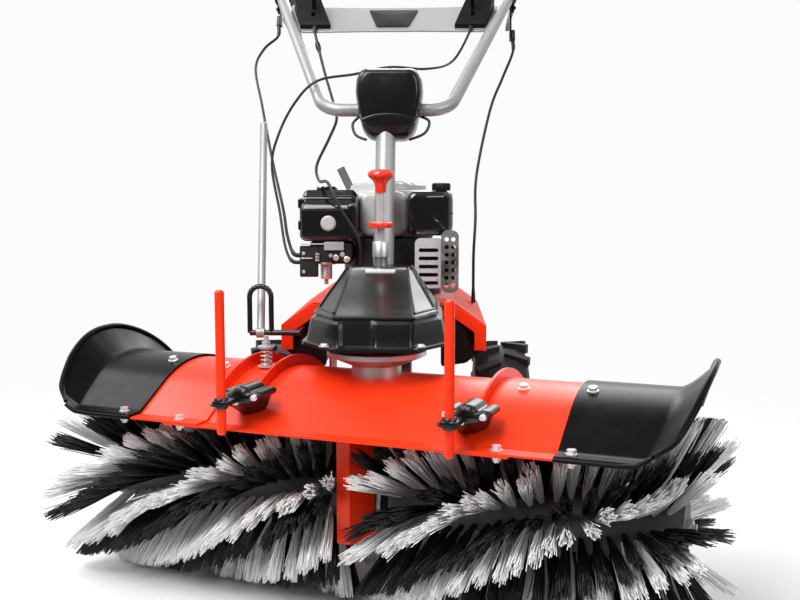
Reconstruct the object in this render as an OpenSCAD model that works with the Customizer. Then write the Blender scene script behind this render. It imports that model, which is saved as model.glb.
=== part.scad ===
// Power brush sweeper: a petrol drive unit on two wheels with a roll brush that swivels in front of it.
// Millimetres, +Z up, the brush toward -Y, the handle toward +Y, the floor at Z = 0.

/* [Brush] */
// diameter over the bristle tips
brush_d = 340; // [310:5:350]
// diameter of the core tubes
core_d = 100; // [90:2:110]
// wall of the core tubes
core_wall = 6; // [4:1:8]
// length of one brush half
half_l = 450; // [400:5:470]
// gap between the two halves
half_gap = 80; // [76:2:90]
// brush shaft diameter
shaft_d = 25; // [22:1:28]
// pairs of bristle rows round the core
row_pairs = 8; // [7:1:8]
// tufts in one row
row_tufts = 11; // [10:1:13]
// turn of a row from end to end, degrees
row_twist = 120; // [90:5:130]
// outward lean of the end tufts, degrees
lean_out = 30; // [20:1:32]
// inward lean of the middle tufts, degrees
lean_in = 7; // [4:1:7]
// angle from a white row to its black row, degrees
row_step = 16; // [15:1:20]

/* [Hood] */
// space from the bristle tips to the hood
hood_gap = 30; // [26:1:40]
// hood sheet thickness
hood_t = 3; // [2:0.5:4]
// thickness of the plastic end flares
flare_t = 4; // [3:0.5:5]
// height of the lip over the brush axis, as a share of the hood radius
lip_up = 0.675; // [0.64:0.005:0.71]
// distance of the lip edge from the brush axis, as a share of the hood radius
lip_out = 0.975; // [0.95:0.005:1]
// half length of the middle sheet
centre_half = 275; // [270:1:285]
// inner edge of the left wing
wing_left = 214; // [210:1:220]
// inner edge of the right wing
wing_right = 205; // [200:1:210]
// outer end of the wings
wing_end = 390; // [380:1:400]
// inner edge of the end flares
flare_in = 337; // [330:1:342]
// where the flares begin to open
flare_bend = 420; // [410:1:430]
// outer end of the flares
flare_end = 524; // [515:1:535]
// rise of the flared rim over the hood
flare_rise = 41; // [35:1:50]
// height of the standing ribs
rib_h = 18; // [12:1:18]
// distance of the inner bolts from the middle
bolt_in = 255; // [250:1:262]
// distance of the outer bolts from the middle
bolt_out = 358; // [354:1:364]
// bolt shank diameter
bolt_d = 8; // [6:1:9]

/* [Posts] */
// support post diameter
post_d = 14; // [12:1:16]
// support post length
post_l = 215; // [200:1:220]
// height of the lower post ends over the brush axis, as a share of the hood radius
post_low = 0.67; // [0.63:0.01:0.69]
// distance of the posts from the brush axis, as a share of the hood radius
post_out = 1.08; // [1.06:0.01:1.11]
// offset of the left post from the middle
post_left = 157; // [152:1:160]
// offset of the right post from the middle
post_right = 199; // [194:1:204]

/* [Swivel] */
// swivel of the brush head at rest, degrees
swivel_rest = 20; // [16:1:20]
// collar diameter
collar_d = 80; // [70:1:84]
// swivel pin diameter
pin_d = 48; // [44:1:50]
// dish diameter
dish_d = 160; // [140:1:164]
// drive shaft diameter
drive_d = 20; // [16:1:22]

/* [Chassis] */
// half width of the chassis sides
side_x = 186; // [180:1:190]
// half width of the deck
deck_x = 129; // [124:1:134]
// height of the deck, with the hood at its first height
deck_z = 462; // [458:1:466]
// height of the shoulders
shoulder_z = 421; // [416:1:426]
// front edge of the chassis
deck_y0 = 210; // [206:1:220]
// rear edge of the chassis
deck_y1 = 640; // [610:1:660]
// sheet thickness of the chassis
deck_t = 4; // [3:0.5:5]
// top of the swivel beam
beam_z = 420; // [418:1:422]

/* [Wheels] */
// tyre diameter
tyre_d = 350; // [340:2:356]
// tyre width
tyre_w = 115; // [100:1:118]
// distance of a wheel from the middle
wheel_x = 230; // [228:1:240]
// distance of the axle behind the swivel
axle_y = 500; // [490:1:520]
// axle diameter
axle_d = 25; // [20:1:28]
// rim diameter
rim_d = 156; // [140:1:164]
// lugs in one row of the tread
lugs = 18; // [12:1:20]

/* [Drive] */
// distance of the engine shaft behind the swivel
engine_y = 420; // [416:1:424]
// driven pulley diameter
pulley_big = 130; // [120:1:136]
// engine pulley diameter
pulley_small = 70; // [60:1:76]
// belt height over the floor, middle
belt_z = 440; // [438:1:441]

/* [Handle] */
// column tube diameter
column_d = 37; // [34:1:38]
// distance of the column foot behind the swivel
column_y = 185; // [182:1:188]
// backward tilt of the column, degrees
column_tilt = 22.5; // [21:0.5:24]
// height of the handle pivot
head_z = 815; // [805:1:825]
// handlebar tube diameter
bar_d = 25; // [22:1:26]
// grip diameter
grip_d = 33; // [30:1:36]
// grip length
grip_l = 125; // [110:1:130]
// lever pivot diameter
lever_pin_d = 8; // [6:1:8]

/* [Lock] */
// distance of the plunger behind the swivel
plunger_y = 130; // [126:1:134]
// plunger rod diameter
plunger_d = 14; // [12:1:16]
// knob and disc diameter
knob_d = 45; // [40:1:50]
// lock arm rod diameter
arm_d = 10; // [8:1:10]
// swivel lever diameter
stick_d = 14; // [12:1:16]

/* [Fits] */
// radial clearance of turning and sliding fits
run = 0.05; // [0.03:0.01:0.08]
// gap of seated pieces
seat = 0.1; // [0.05:0.05:0.2]
// gap between bodies that pass each other
pass = 0.4; // [0.3:0.05:0.6]

/* [Hidden] */
$fn = 64;
brush_r = brush_d / 2;
core_r = core_d / 2;
axis_z = brush_r;
core_in = half_gap / 2;
core_out = core_in + half_l;
hood_r = brush_r + hood_gap;
wing_r = hood_r + hood_t + seat;
flare_r = wing_r + hood_t + seat;
apron_a = 60;
back_a = 140;
hood_top = axis_z + hood_r + hood_t;
// how far the drive unit stands over its first layout, so that it clears the hood
rise = hood_top - 373;
lip_z = axis_z + lip_up * hood_r;
lip_v = lip_out * hood_r;
post_z = axis_z + post_low * hood_r;
post_v = post_out * hood_r;
collar_z = hood_top + 13;
dish_z = collar_z + pass;
beam_t = 10;
pin_top = beam_z + rise + pass;
tip_out = (brush_r - core_r) * tan(lean_out);
front_y = -((core_out + tip_out) * sin(swivel_rest) + brush_r * cos(swivel_rest));
bar_dir = [96, 288, 195];
bar_x0 = 118;
head_y = column_y + (head_z - deck_z) * tan(column_tilt);
bar_mid = [0, head_y, head_z];
bar_corner = [bar_x0, head_y, head_z];
slope = atan2(bar_dir[2], bar_dir[1]);
panel_s = 1.0;
box_x = 165;
box_front = -2;
bar_top = bar_corner + 1.6 * bar_dir;
bar_end = bar_top + [4, 192, 8];
rear_y = bar_end[1] + 5;
y_shift = -(front_y + rear_y) / 2;
lever_pin = bar_top + [-4, -9, -47];
belt_h = 12;
pulley_h = 18;
red = [0.85, 0.13, 0.07];
black = [0.05, 0.05, 0.055];
silver = [0.75, 0.76, 0.77];
steel = [0.6, 0.61, 0.62];
grey = [0.45, 0.46, 0.47];
rubber = [0.03, 0.03, 0.03];
engine_z = deck_z + 12;
box_top = 665;
box_low = 573;

// where the handle stands against its first layout, added to the points that ride on it
lift = [0, head_y - 331, head_z - 815];
right_tip = bar_top + [-5.6, -53.5, -126];
left_tip = bar_top + [-5.6, -35, -89];
ferrule_dir = [0, 16, 36];
ferrule_end = 0.3 * ferrule_dir / norm(ferrule_dir);
cable_r = 3;
bevel = (deck_z - shoulder_z) / (side_x - deck_x);
right_foot_x = 172;
right_foot_z = shoulder_z + (side_x - right_foot_x + cable_r) * bevel + 0.3;

// a point on the control panel
function panel_point(x, y, z) =
  bar_mid + panel_s * [0, bar_dir[1], bar_dir[2]]
  + [x, y * cos(slope) - z * sin(slope), y * sin(slope) + z * cos(slope)];

// cable runs, from the handle down
left_run = [
  [-left_tip[0], left_tip[1] - ferrule_end[1], left_tip[2] - ferrule_end[2]],
  lift + [-268, 746, 1012], lift + [-294, 718, 982], lift + [-304, 660, 932], [-276, 570, 845],
  [-238, 460, 726], [-204, 370, 630], [-190, 328, 578], [-176, 311, 545], [-159, 310, 542]
];
right_run = [
  right_tip - ferrule_end, lift + [265, 725, 971], lift + [240, 692, 910], [212, 650, 839], [180, 560, 697],
  [176, 500, 603], [right_foot_x, 480, 530], [right_foot_x, 476, right_foot_z]
];
shift_run = [
  panel_point(-box_x, box_front - 1.6, 5.6), panel_point(-box_x, -24, 4), lift + [-143, 560, 920], [-114, 480, 838],
  [-106, 450, 805], [-118, 415, 765], [-136, 360, 712], [-126, 315, 682], [-104, 257, 678], [-82, 236, 636],
  [-46, 236, 575], [-42, 245, 520], [-40, 250, deck_z + 0.5]
];
throttle_run = [
  panel_point(box_x, box_front - 1.6, 5.6), panel_point(box_x, -24, 4), lift + [128, 545, 932], [75, 450, 905], [3, 420, 905],
  [-66, 405, 890], [-137, 378, 874], [-182, 386, 832], [-214, 388, 772], [-226, 378, 712], [-206, 340, 624],
  [-190, 297, 560], [-176, 285, 533], [-159, 285, 530]
];

function unit(v) = v / norm(v);
function inward(a, b, c) = unit(unit(c - b) - (unit(c - b) * unit(b - a)) * unit(b - a));
function swing(a, b, c) = acos(unit(b - a) * unit(c - b));
function corner(a, b, c, bend_r, n) =
  let (
    d = unit(b - a),
    w = inward(a, b, c),
    turn = swing(a, b, c),
    o = b - bend_r * tan(turn / 2) * d + bend_r * w
  )
  [for (k = [0 : n]) o + bend_r * (sin(turn * k / n) * d - cos(turn * k / n) * w)];
function eased(p, bend_r, n) = [
  p[0],
  for (i = [1 : len(p) - 2]) each corner(p[i - 1], p[i], p[i + 1], bend_r, n),
  p[len(p) - 1]
];
function curve(a, b, c, d, t) =
  0.5 * (2 * b + (c - a) * t + (2 * a - 5 * b + 4 * c - d) * t * t + (3 * b - a - 3 * c + d) * t * t * t);
function near(p, i) = p[max(0, min(len(p) - 1, i))];
function spline(p, n) = [
  for (i = [0 : len(p) - 2], k = [0 : n - 1])
    curve(near(p, i - 1), p[i], p[i + 1], near(p, i + 2), k / n),
  p[len(p) - 1]
];
function heading(p, i) = unit(near(p, i + 1) - near(p, i - 1));
function ring(c, t, side, r, n) =
  let (a = unit(cross(t, side)), b = cross(t, a))
  [for (j = [0 : n - 1]) c + r * (cos(360 * j / n) * a + sin(360 * j / n) * b)];

// shared shapes

module machine() translate([0, y_shift, 0]) children();

// the drive unit, which stands as high as the hood needs
module upper() translate([0, y_shift, rise]) children();

module head() machine() rotate([0, 0, -swivel_rest]) children();

module rod(a, b, r) {
  d = b - a;
  translate(a)
    rotate([0, acos(d[2] / norm(d)), atan2(d[1], d[0])])
      cylinder(h = norm(d), r = r);
}

// straight lengths joined by knuckles that hide the mitres
module bent_rod(p, r) {
  for (i = [0 : len(p) - 2]) rod(p[i], p[i + 1], r);
  for (i = [1 : len(p) - 2]) translate(p[i]) sphere(r + 0.3);
}

module sweep(p, r, n, side) {
  m = len(p);
  points = [for (i = [0 : m - 1]) each ring(p[i], heading(p, i), side, r, n)];
  first = [for (i = [0 : m - 2], j = [0 : n - 1]) [i * n + j, (i + 1) * n + j, (i + 1) * n + (j + 1) % n]];
  second = [for (i = [0 : m - 2], j = [0 : n - 1]) [i * n + j, (i + 1) * n + (j + 1) % n, i * n + (j + 1) % n]];
  low = [for (j = [0 : n - 1]) j];
  high = [for (j = [n - 1 : -1 : 0]) (m - 1) * n + j];
  polyhedron(points, concat(first, second, [low], [high]));
}

module along_x(x0, x1, r, y, z) translate([x0, y, z]) rotate([0, 90, 0]) cylinder(h = x1 - x0, r = r);

module rounded(w, h, r) {
  translate([r, 0]) square([w - 2 * r, h]);
  translate([0, r]) square([w, h - 2 * r]);
  for (x = [r, w - r], y = [r, h - r]) translate([x, y]) circle(r);
}

// a rounded front, seen along Y, drawn back from y0 to y1
module block(x0, x1, y0, y1, z0, z1, r)
  translate([x0, y1, z0])
    rotate([90, 0, 0])
      linear_extrude(y1 - y0)
        rounded(x1 - x0, z1 - z0, r);

// turns a profile of [radius, -offset] round the brush axis, from angle a0 over the front to a1
module about_brush(a0, a1)
  translate([0, 0, axis_z])
    multmatrix([[0, 0, -1, 0], [-1, 0, 0, 0], [0, 1, 0, 0], [0, 0, 0, 1]])
      rotate([0, 0, a0])
        rotate_extrude(angle = a1 - a0)
          children();

module band(r0, r1, u0, u1, a0, a1)
  about_brush(a0, a1)
    polygon([[r0, -u1], [r1, -u1], [r1, -u0], [r0, -u0]]);

// points a child up the radius at an angle round the brush axis
module radial(u, a) translate([u, 0, axis_z]) rotate([90 - a, 0, 0]) children();

// one layer of hood sheet: arc, flat apron and lip
module hood_sheet(r, t, z, u0, u1) {
  run_l = (axis_z + r * sin(apron_a) - z) / cos(apron_a);
  lip_start = r * cos(apron_a) + run_l * sin(apron_a);
  band(r, r + t, u0, u1, apron_a, back_a);
  radial(0, apron_a) translate([u0, -run_l, r]) cube([u1 - u0, run_l, t]);
  translate([u0, -lip_v, z]) cube([u1 - u0, lip_v - lip_start, t]);
}

bolt_v = lip_v - 15;
bolt_a = 78;
wing_lip = lip_z + hood_t + seat;
flare_lip = wing_lip + hood_t + seat;

module bolt_holes(us) {
  for (u = us) {
    translate([u, -bolt_v, lip_z - 30]) cylinder(h = 80, r = bolt_d / 2 + 0.3);
    radial(u, bolt_a) translate([0, 0, hood_r - 25]) cylinder(h = 60, r = bolt_d / 2 + 0.3);
  }
}

// a bolt along +Z through a stack from z0 to z1, head on top and nut below
module bolt(z0, z1) {
  translate([0, 0, z0 - seat - 6.5]) cylinder(h = 6.5, r = bolt_d * 0.85, $fn = 6);
  translate([0, 0, z0 - seat - 10]) cylinder(h = z1 - z0 + 12, r = bolt_d / 2);
  translate([0, 0, z1 + seat + 0.2]) cylinder(h = 1.8, r = bolt_d * 1.05);
  translate([0, 0, z1 + seat + 2]) cylinder(h = 5.5, r = bolt_d * 0.85, $fn = 6);
}

// brush roll

gear_pitch = 40;
gear_back = 4;

module brush_shaft()
  head()
    color(steel)
      union() {
        along_x(-core_out - 14, core_out + 14, shaft_d / 2, 0, axis_z);
        translate([gear_pitch / 2 - 6, 0, axis_z])
          rotate([0, 90, 0])
            cylinder(h = 6, r1 = gear_pitch - 12, r2 = gear_pitch);
        along_x(gear_pitch / 2, gear_pitch / 2 + gear_back, gear_pitch, 0, axis_z);
        for (x = [-core_out - 9, core_out + seat]) {
          translate([x, 0, axis_z]) rotate([0, 90, 0]) cylinder(h = 8.9, r = shaft_d * 0.8, $fn = 6);
        }
      }

module brush_cores()
  head()
    color(grey)
      for (x = [-core_out, core_in])
        difference() {
          along_x(x, x + half_l, core_r, 0, axis_z);
          along_x(x + 6, x + half_l - 6, core_r - core_wall, 0, axis_z);
          along_x(x - 1, x + half_l + 1, shaft_d / 2 + run, 0, axis_z);
        }

root_half = 5;
strip_in = core_r - 2;
strip_out = core_r + 2;
tip_grow = 1.5;
row_margin = 10;
strip_w = row_step / 2 - 0.2;

function row_u(s, t) = s > 0 ? core_in + row_margin + t * (half_l - 2 * row_margin)
                             : -core_out + row_margin + t * (half_l - 2 * row_margin);
function row_lean(s, t) = s > 0 ? -lean_in + t * (lean_out + lean_in)
                                : -lean_out + t * (lean_out + lean_in);
function polar(u, r, a) = [u, -r * cos(a), axis_z + r * sin(a)];
// one tuft of a row: two slices of backing, then the four corners of its tip
function tuft(s, a0, t) =
  let (
    u = row_u(s, t),
    a = a0 + row_twist * t,
    tip_u = u + (brush_r - core_r) * tan(row_lean(s, t)),
    tip_w = strip_w * core_r / brush_r * tip_grow
  )
  concat(
    [for (h = [-root_half, root_half]) each
      [polar(u + h, strip_in, a), polar(u + h, strip_out, a - strip_w), polar(u + h, strip_out, a + strip_w)]],
    [for (h = [-root_half, root_half], w = [-tip_w, tip_w]) polar(tip_u + h * tip_grow, brush_r, a + w)]
  );

// one row of tufts on its strip of backing
module row(s, a0) {
  n = row_tufts;
  points = [for (i = [0 : n - 1]) each tuft(s, a0, i / (n - 1))];
  walls = [
    for (i = [0 : n - 1]) let (k = 10 * i) each [
      [k, k + 1, k + 4], [k, k + 4, k + 3], [k, k + 5, k + 2], [k, k + 3, k + 5],
      [k + 1, k + 2, k + 7], [k + 1, k + 7, k + 6], [k + 4, k + 9, k + 5], [k + 4, k + 8, k + 9],
      [k + 1, k + 6, k + 8], [k + 1, k + 8, k + 4], [k + 2, k + 9, k + 7], [k + 2, k + 5, k + 9],
      [k + 6, k + 7, k + 9], [k + 6, k + 9, k + 8]
    ]
  ];
  bridges = [
    for (i = [0 : n - 2]) let (k = 10 * i, m = k + 10) each [
      [k + 3, k + 4, m + 1], [k + 3, m + 1, m], [k + 3, m + 2, k + 5], [k + 3, m, m + 2],
      [k + 4, k + 5, m + 2], [k + 4, m + 2, m + 1]
    ]
  ];
  e = 10 * (n - 1);
  polyhedron(points, concat(walls, bridges, [[0, 2, 1]], [[e + 3, e + 4, e + 5]]));
}

module rows(start)
  for (s = [-1, 1], k = [0 : row_pairs - 1]) row(s, 360 * k / row_pairs + start);

module white_bristles() head() color([0.92, 0.92, 0.9]) rows(0);

module black_bristles() head() color([0.07, 0.07, 0.07]) rows(row_step);

// brush head

module hood_centre()
  head()
    color(red)
      difference() {
        union() {
          hood_sheet(hood_r, hood_t, lip_z, -centre_half, centre_half);
          band(hood_r + hood_t - 0.5, hood_r + hood_t + rib_h, -post_left, -post_left + 4, apron_a - 10, 128);
        }
        bolt_holes([-bolt_in, bolt_in]);
        cylinder(h = 600, r = collar_d / 2 + seat);
        translate([-spring_u, -spring_v, hood_top - 40]) cylinder(h = 80, r = spring_bolt_d / 2 + 0.3);
      }

module hood_wing(u0, u1, rib_u)
  difference() {
    union() {
      hood_sheet(wing_r, hood_t, wing_lip, u0, u1);
      band(wing_r + hood_t - 0.5, wing_r + hood_t + rib_h - 3, rib_u, rib_u + 4, apron_a - 5, 128);
    }
    bolt_holes([-bolt_out, -bolt_in, bolt_in, bolt_out]);
  }

module left_hood_wing() head() color(red) hood_wing(-wing_end, -wing_left, -wing_left - 7);

module right_hood_wing() head() color(red) hood_wing(wing_right, wing_end, wing_right + 3);

// section of a flare from the lip over the apron and arc, as inner points and their outward directions
flare_half = 2.5;
flare_low = 452;
flare_run = (axis_z + flare_r * sin(apron_a) - flare_lip) / cos(apron_a);
flare_angles = [for (a = [apron_a + flare_half : 2 * flare_half : back_a - flare_half]) a];
flare_points = concat(
  [[lip_v, flare_lip], [flare_r * cos(apron_a) + flare_run * sin(apron_a), flare_lip]],
  [for (a = flare_angles) [flare_r * cos(a) / cos(flare_half), axis_z + flare_r * sin(a) / cos(flare_half)]],
  [[flare_r * cos(back_a), axis_z + flare_r * sin(back_a)]]
);
flare_out = concat(
  [[0, 1], [cos(apron_a) / (1 + sin(apron_a)), 1]],
  [for (a = flare_angles) [cos(a), sin(a)] / cos(flare_half)],
  [[cos(back_a), sin(back_a)]]
);
// how far each point of the section opens: not at the lip, fully over the top, half at the back
flare_spread = [[60, 0.78], [70, 0.92], [80, 1], [95, 1], [110, 0.86], [140, 0.5]];
flare_swell = concat([0, 0.38], [for (a = flare_angles) lookup(a, flare_spread)], [lookup(back_a, flare_spread)]);
flare_stops = [0, 0.25, 0.45, 0.62, 0.76, 0.86, 0.93, 0.94, 1];

function flare_point(t, j, lift) =
  let (
    u = flare_bend + (flare_low + (flare_end - flare_low) * flare_swell[j] - flare_bend) * t,
    rise = (4 + (flare_rise - 4) * flare_swell[j]) * pow(t, 2.6),
    q = flare_points[j] + flare_out[j] * (rise + lift)
  )
  [u, -q[0], q[1]];

module flare_shell() {
  m = len(flare_points);
  n = len(flare_stops) + 1;
  points = concat(
    [for (j = [0 : m - 1], lift = [0, flare_t])
      let (q = flare_points[j] + flare_out[j] * lift) [flare_in, -q[0], q[1]]],
    [for (t = flare_stops, j = [0 : m - 1], lift = [0, t > 0.935 ? flare_t + 5 : flare_t]) flare_point(t, j, lift)]
  );
  skin = [
    for (i = [0 : n - 2], j = [0 : m - 2])
      let (p = 2 * (i * m + j), q = p + 2, k = p + 2 * m, l = k + 2)
      each [[p, k, l], [p, l, q], [p + 1, q + 1, l + 1], [p + 1, l + 1, k + 1]]
  ];
  edges = [
    for (i = [0 : n - 2])
      let (p = 2 * i * m, k = p + 2 * m, q = p + 2 * m - 2, l = k + 2 * m - 2)
      each [[p, p + 1, k + 1], [p, k + 1, k], [q, l, l + 1], [q, l + 1, q + 1]]
  ];
  ends = [
    for (j = [0 : m - 2])
      let (p = 2 * j, k = 2 * ((n - 1) * m + j))
      each [[p, p + 2, p + 3], [p, p + 3, p + 1], [k, k + 1, k + 3], [k, k + 3, k + 2]]
  ];
  polyhedron(points, concat(skin, edges, ends));
}

module flare_body()
  difference() {
    flare_shell();
    bolt_holes([bolt_out]);
  }

module right_end_flare() head() color(black) flare_body();

module left_end_flare() head() color(black) mirror([1, 0, 0]) flare_body();

module swivel_collar()
  head()
    color(silver)
      difference() {
        union() {
          translate([0, 0, hood_top - 22]) cylinder(h = collar_z - hood_top + 22, r = collar_d / 2);
          translate([0, 0, collar_z - 1]) cylinder(h = pin_top - collar_z + 1, r = pin_d / 2);
          translate([0, 0, pin_top]) cylinder(h = 4, r = pin_d / 2 + 7);
        }
        cylinder(h = 600, r = drive_d / 2 + 2);
      }

case_half = 30;
case_r = 58;
neck_r = 20;

module gearbox_case()
  head()
    color(grey)
      difference() {
        union() {
          along_x(-case_half, case_half, case_r, 0, axis_z);
          translate([0, 0, axis_z]) cylinder(h = hood_top - 22 - seat - axis_z, r = neck_r);
        }
        along_x(-case_half + 6, case_half - 4, gear_pitch + 8, 0, axis_z);
        along_x(-case_half - 1, case_half + 1, shaft_d / 2 + run, 0, axis_z);
        translate([0, 0, axis_z]) cylinder(h = 300, r = drive_d / 2 + run);
      }

module gearbox_shield()
  head()
    color(red)
      translate([0, 0, axis_z - 52])
        linear_extrude(52 + sqrt(pow(hood_r, 2) - 100 * 100) - seat)
          polygon([[-25, -100], [-3, -100], [22, -64], [22, -case_r - seat], [18, -case_r - seat], [18, -64],
                   [-5, -96], [-21, -96], [-21, -case_r - seat], [-25, -case_r - seat]]);

bracket_z = post_z + 0.24 * hood_r;

// a distance from the brush axis that grows with the hood
function by_hood(v) = v * hood_r / 200;

// height of the apron of a sheet of outer radius r at a distance v from the brush axis
function apron_z(r, v) = axis_z + r * sin(apron_a) - (v - r * cos(apron_a)) / tan(apron_a);

// a web that stands on the apron under the bracket plate
module foot(u, r)
  translate([u, 0, 0])
    rotate([90, 0, 90])
      linear_extrude(4)
        polygon([
          [-by_hood(164), bracket_z + 2], [-by_hood(160), apron_z(r, by_hood(160))],
          [-by_hood(134), apron_z(r, by_hood(134))], [-by_hood(134), bracket_z + 2]
        ]);

module bracket(u, r)
  difference() {
    union() {
      difference() {
        union() {
          translate([u - 22, -post_v - 18, bracket_z]) cube([44, post_v - by_hood(104), 4]);
          translate([u + 12, -by_hood(170), bracket_z]) cube([58, by_hood(40), 4]);
          translate([u + 12, -by_hood(174), bracket_z])
            rotate([90, 0, 0])
              linear_extrude(4)
                polygon([[0, 0], [58, 0], [58, 20], [50, 27], [26, 36], [10, 33], [0, 18]]);
          translate([u + 12, -post_v + 12, bracket_z])
            rotate([90, 0, 90])
              linear_extrude(4)
                polygon([[0, 0], [post_v - by_hood(150), 0], [post_v - by_hood(160), 33], [24, 30]]);
        }
        along_x(-400, 400, wing_r + hood_t + rib_h, 0, axis_z);
      }
      foot(u + 12, r);
      foot(u + 66, r);
      translate([u, -post_v, bracket_z - 14]) cylinder(h = 30, r = post_d / 2 + 5);
      for (x = [30, 60]) {
        translate([u + x, -by_hood(174) - 3.5, bracket_z + 13])
          rotate([-90, 0, 0])
            cylinder(h = 4, r = 5.5, $fn = 6);
      }
    }
    translate([u, -post_v, 0]) cylinder(h = 700, r = post_d / 2 + run);
  }

module post_brackets()
  head()
    color(black) {
      bracket(-post_left, hood_r + hood_t + seat);
      bracket(post_right, wing_r + hood_t + seat);
    }

module post(u)
  translate([u, -post_v, post_z]) {
    cylinder(h = 3, r1 = post_d / 2 - 2, r2 = post_d / 2);
    translate([0, 0, 3]) cylinder(h = post_l - 6, r = post_d / 2);
    translate([0, 0, post_l - 3]) cylinder(h = 3, r1 = post_d / 2, r2 = post_d / 2 - 2);
  }

module left_post() head() color(red) post(-post_left);

module right_post() head() color(red) post(post_right);

module hood_bolts()
  head()
    color(silver)
      for (s = [-1, 1]) {
        translate([s * bolt_in, -bolt_v, 0]) bolt(lip_z, wing_lip + hood_t);
        translate([s * bolt_out, -bolt_v, 0]) bolt(wing_lip, flare_lip + flare_t);
        radial(s * bolt_in, bolt_a) bolt(hood_r, wing_r + hood_t);
        radial(s * bolt_out, bolt_a) bolt(wing_r, flare_r + flare_t);
      }

spring_u = 190;
spring_v = 22;
spring_bolt_d = 8;
spring_low = hood_top + seat + 2.5;
spring_top = hood_top + 32;
wire_r = 1.4;
coil_r = 9;
coils = 5;

spring_rise = spring_top - spring_low - 2 * wire_r - 2 * seat;
spring_path = [
  for (i = [0 : coils * 8])
    [coil_r * cos(45 * i), coil_r * sin(45 * i), spring_low + wire_r + seat + spring_rise * i / (coils * 8)]
];
spring_gap = min([for (i = [0 : coils * 8 - 6], j = [i + 6 : coils * 8]) norm(spring_path[i] - spring_path[j])])
             - 2 * wire_r;
echo(spring_gap = spring_gap);

module spring_bolt()
  head()
    color(silver)
      translate([-spring_u, -spring_v, 0]) {
        translate([0, 0, hood_top - 14]) cylinder(h = 66, r = spring_bolt_d / 2);
        translate([0, 0, hood_top - 12]) cylinder(h = 5, r = 8, $fn = 6);
        translate([0, 0, hood_top + seat]) cylinder(h = 2.5, r = 14);
        translate([0, 0, spring_top]) cylinder(h = 3, r = 14);
        translate([0, 0, spring_top + 3]) cylinder(h = 7, r = 8, $fn = 6);
      }

module bolt_spring()
  head()
    color(steel)
      translate([-spring_u, -spring_v, 0])
        sweep(spring_path, wire_r, 6, [0, 0, 1]);

// drive train

module drive_shaft()
  head()
    color(steel)
      union() {
        translate([0, 0, axis_z + 27]) cylinder(h = belt_z + rise + 22 - axis_z - 27, r = drive_d / 2);
        translate([0, 0, axis_z + 28]) cylinder(h = 14, r1 = 13.2, r2 = 20);
      }

module spool(d)
  rotate_extrude()
    polygon([[drive_d / 2 + run, -pulley_h / 2], [d / 2, -pulley_h / 2], [d / 2, -belt_h / 2 - 1],
             [d / 2 - 8, -belt_h / 2 - 1], [d / 2 - 8, belt_h / 2 + 1], [d / 2, belt_h / 2 + 1],
             [d / 2, pulley_h / 2], [drive_d / 2 + run, pulley_h / 2]]);

module driven_pulley() head() color(steel) translate([0, 0, belt_z + rise]) spool(pulley_big);

module engine_pulley()
  upper()
    color(steel)
      translate([0, engine_y, belt_z]) {
        spool(pulley_small);
        translate([0, 0, -pulley_h / 2]) cylinder(h = engine_z + 30 - belt_z + pulley_h / 2, r = drive_d / 2 + run);
      }

module belt_outline(r1, r2) {
  s = (r1 - r2) / engine_y;
  c = sqrt(1 - s * s);
  circle(r1);
  translate([0, engine_y]) circle(r2);
  polygon([[r1 * c, r1 * s], [r2 * c, engine_y + r2 * s], [-r2 * c, engine_y + r2 * s], [-r1 * c, r1 * s]]);
}

module v_belt()
  upper()
    color(rubber)
      translate([0, 0, belt_z - belt_h / 2])
        difference() {
          linear_extrude(belt_h) belt_outline(pulley_big / 2 - 1, pulley_small / 2 - 1);
          translate([0, 0, -1])
            linear_extrude(belt_h + 2)
              belt_outline(pulley_big / 2 - 7.5, pulley_small / 2 - 7.5);
        }

// chassis

wall_x = 121;

module chassis_frame()
  upper()
    color(red)
      difference() {
        union() {
          translate([0, deck_y1, 0])
            rotate([90, 0, 0])
              linear_extrude(deck_y1 - deck_y0)
                polygon([
                  [-side_x, 375], [-side_x, shoulder_z], [-deck_x, deck_z], [deck_x, deck_z],
                  [side_x, shoulder_z], [side_x, 375], [side_x - deck_t, 375],
                  [side_x - deck_t, shoulder_z - 2], [deck_x - 1.4, deck_z - deck_t],
                  [-deck_x + 1.4, deck_z - deck_t], [-side_x + deck_t, shoulder_z - 2],
                  [-side_x + deck_t, 375]
                ]);
          for (s = [-1, 1]) {
            translate([s * wall_x - 2, deck_y0 + 30, 330]) cube([4, deck_y1 - deck_y0 - 30, deck_z - 332]);
            translate([s * wall_x - 2, axle_y - 60, axle_up - 40]) cube([4, 120, deck_z - 2 - axle_up + 40]);
            along_x(s * wall_x - 8, s * wall_x + 8, axle_d / 2 + 12, axle_y, axle_up);
          }
          translate([0, 0, beam_z - beam_t]) cylinder(h = beam_t, r = 60);
          translate([-60, 0, beam_z - beam_t]) cube([120, deck_y0 + 60, beam_t]);
          translate([-wall_x, deck_y0 + 30, beam_z - beam_t]) cube([2 * wall_x, deck_y1 - deck_y0 - 30, beam_t]);
          translate([-32, column_y - 20, deck_z - deck_t]) cube([64, 60, deck_t]);
          translate([-32, column_y - 20, beam_z - 1]) cube([64, 4, deck_z - beam_z]);
          intersection() {
            rod(column_foot, column_foot + 42 * column_dir, column_d / 2 + 5);
            translate([-60, column_y - 80, deck_z - 1]) cube([120, 160, 60]);
          }
        }
        cylinder(h = 600, r = pin_d / 2 + 1);
        translate([0, engine_y, deck_z - 20]) cylinder(h = 40, r = drive_d / 2 + 8);
        along_x(-200, 200, axle_d / 2 + run, axle_y, axle_up);
        rod(column_foot - 30 * column_dir, column_foot + 80 * column_dir, column_d / 2 + seat);
      }

axle_h = tyre_d / 2;
axle_up = axle_h - rise;
column_dir = [0, sin(column_tilt), cos(column_tilt)];
column_foot = [0, column_y, deck_z];

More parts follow.
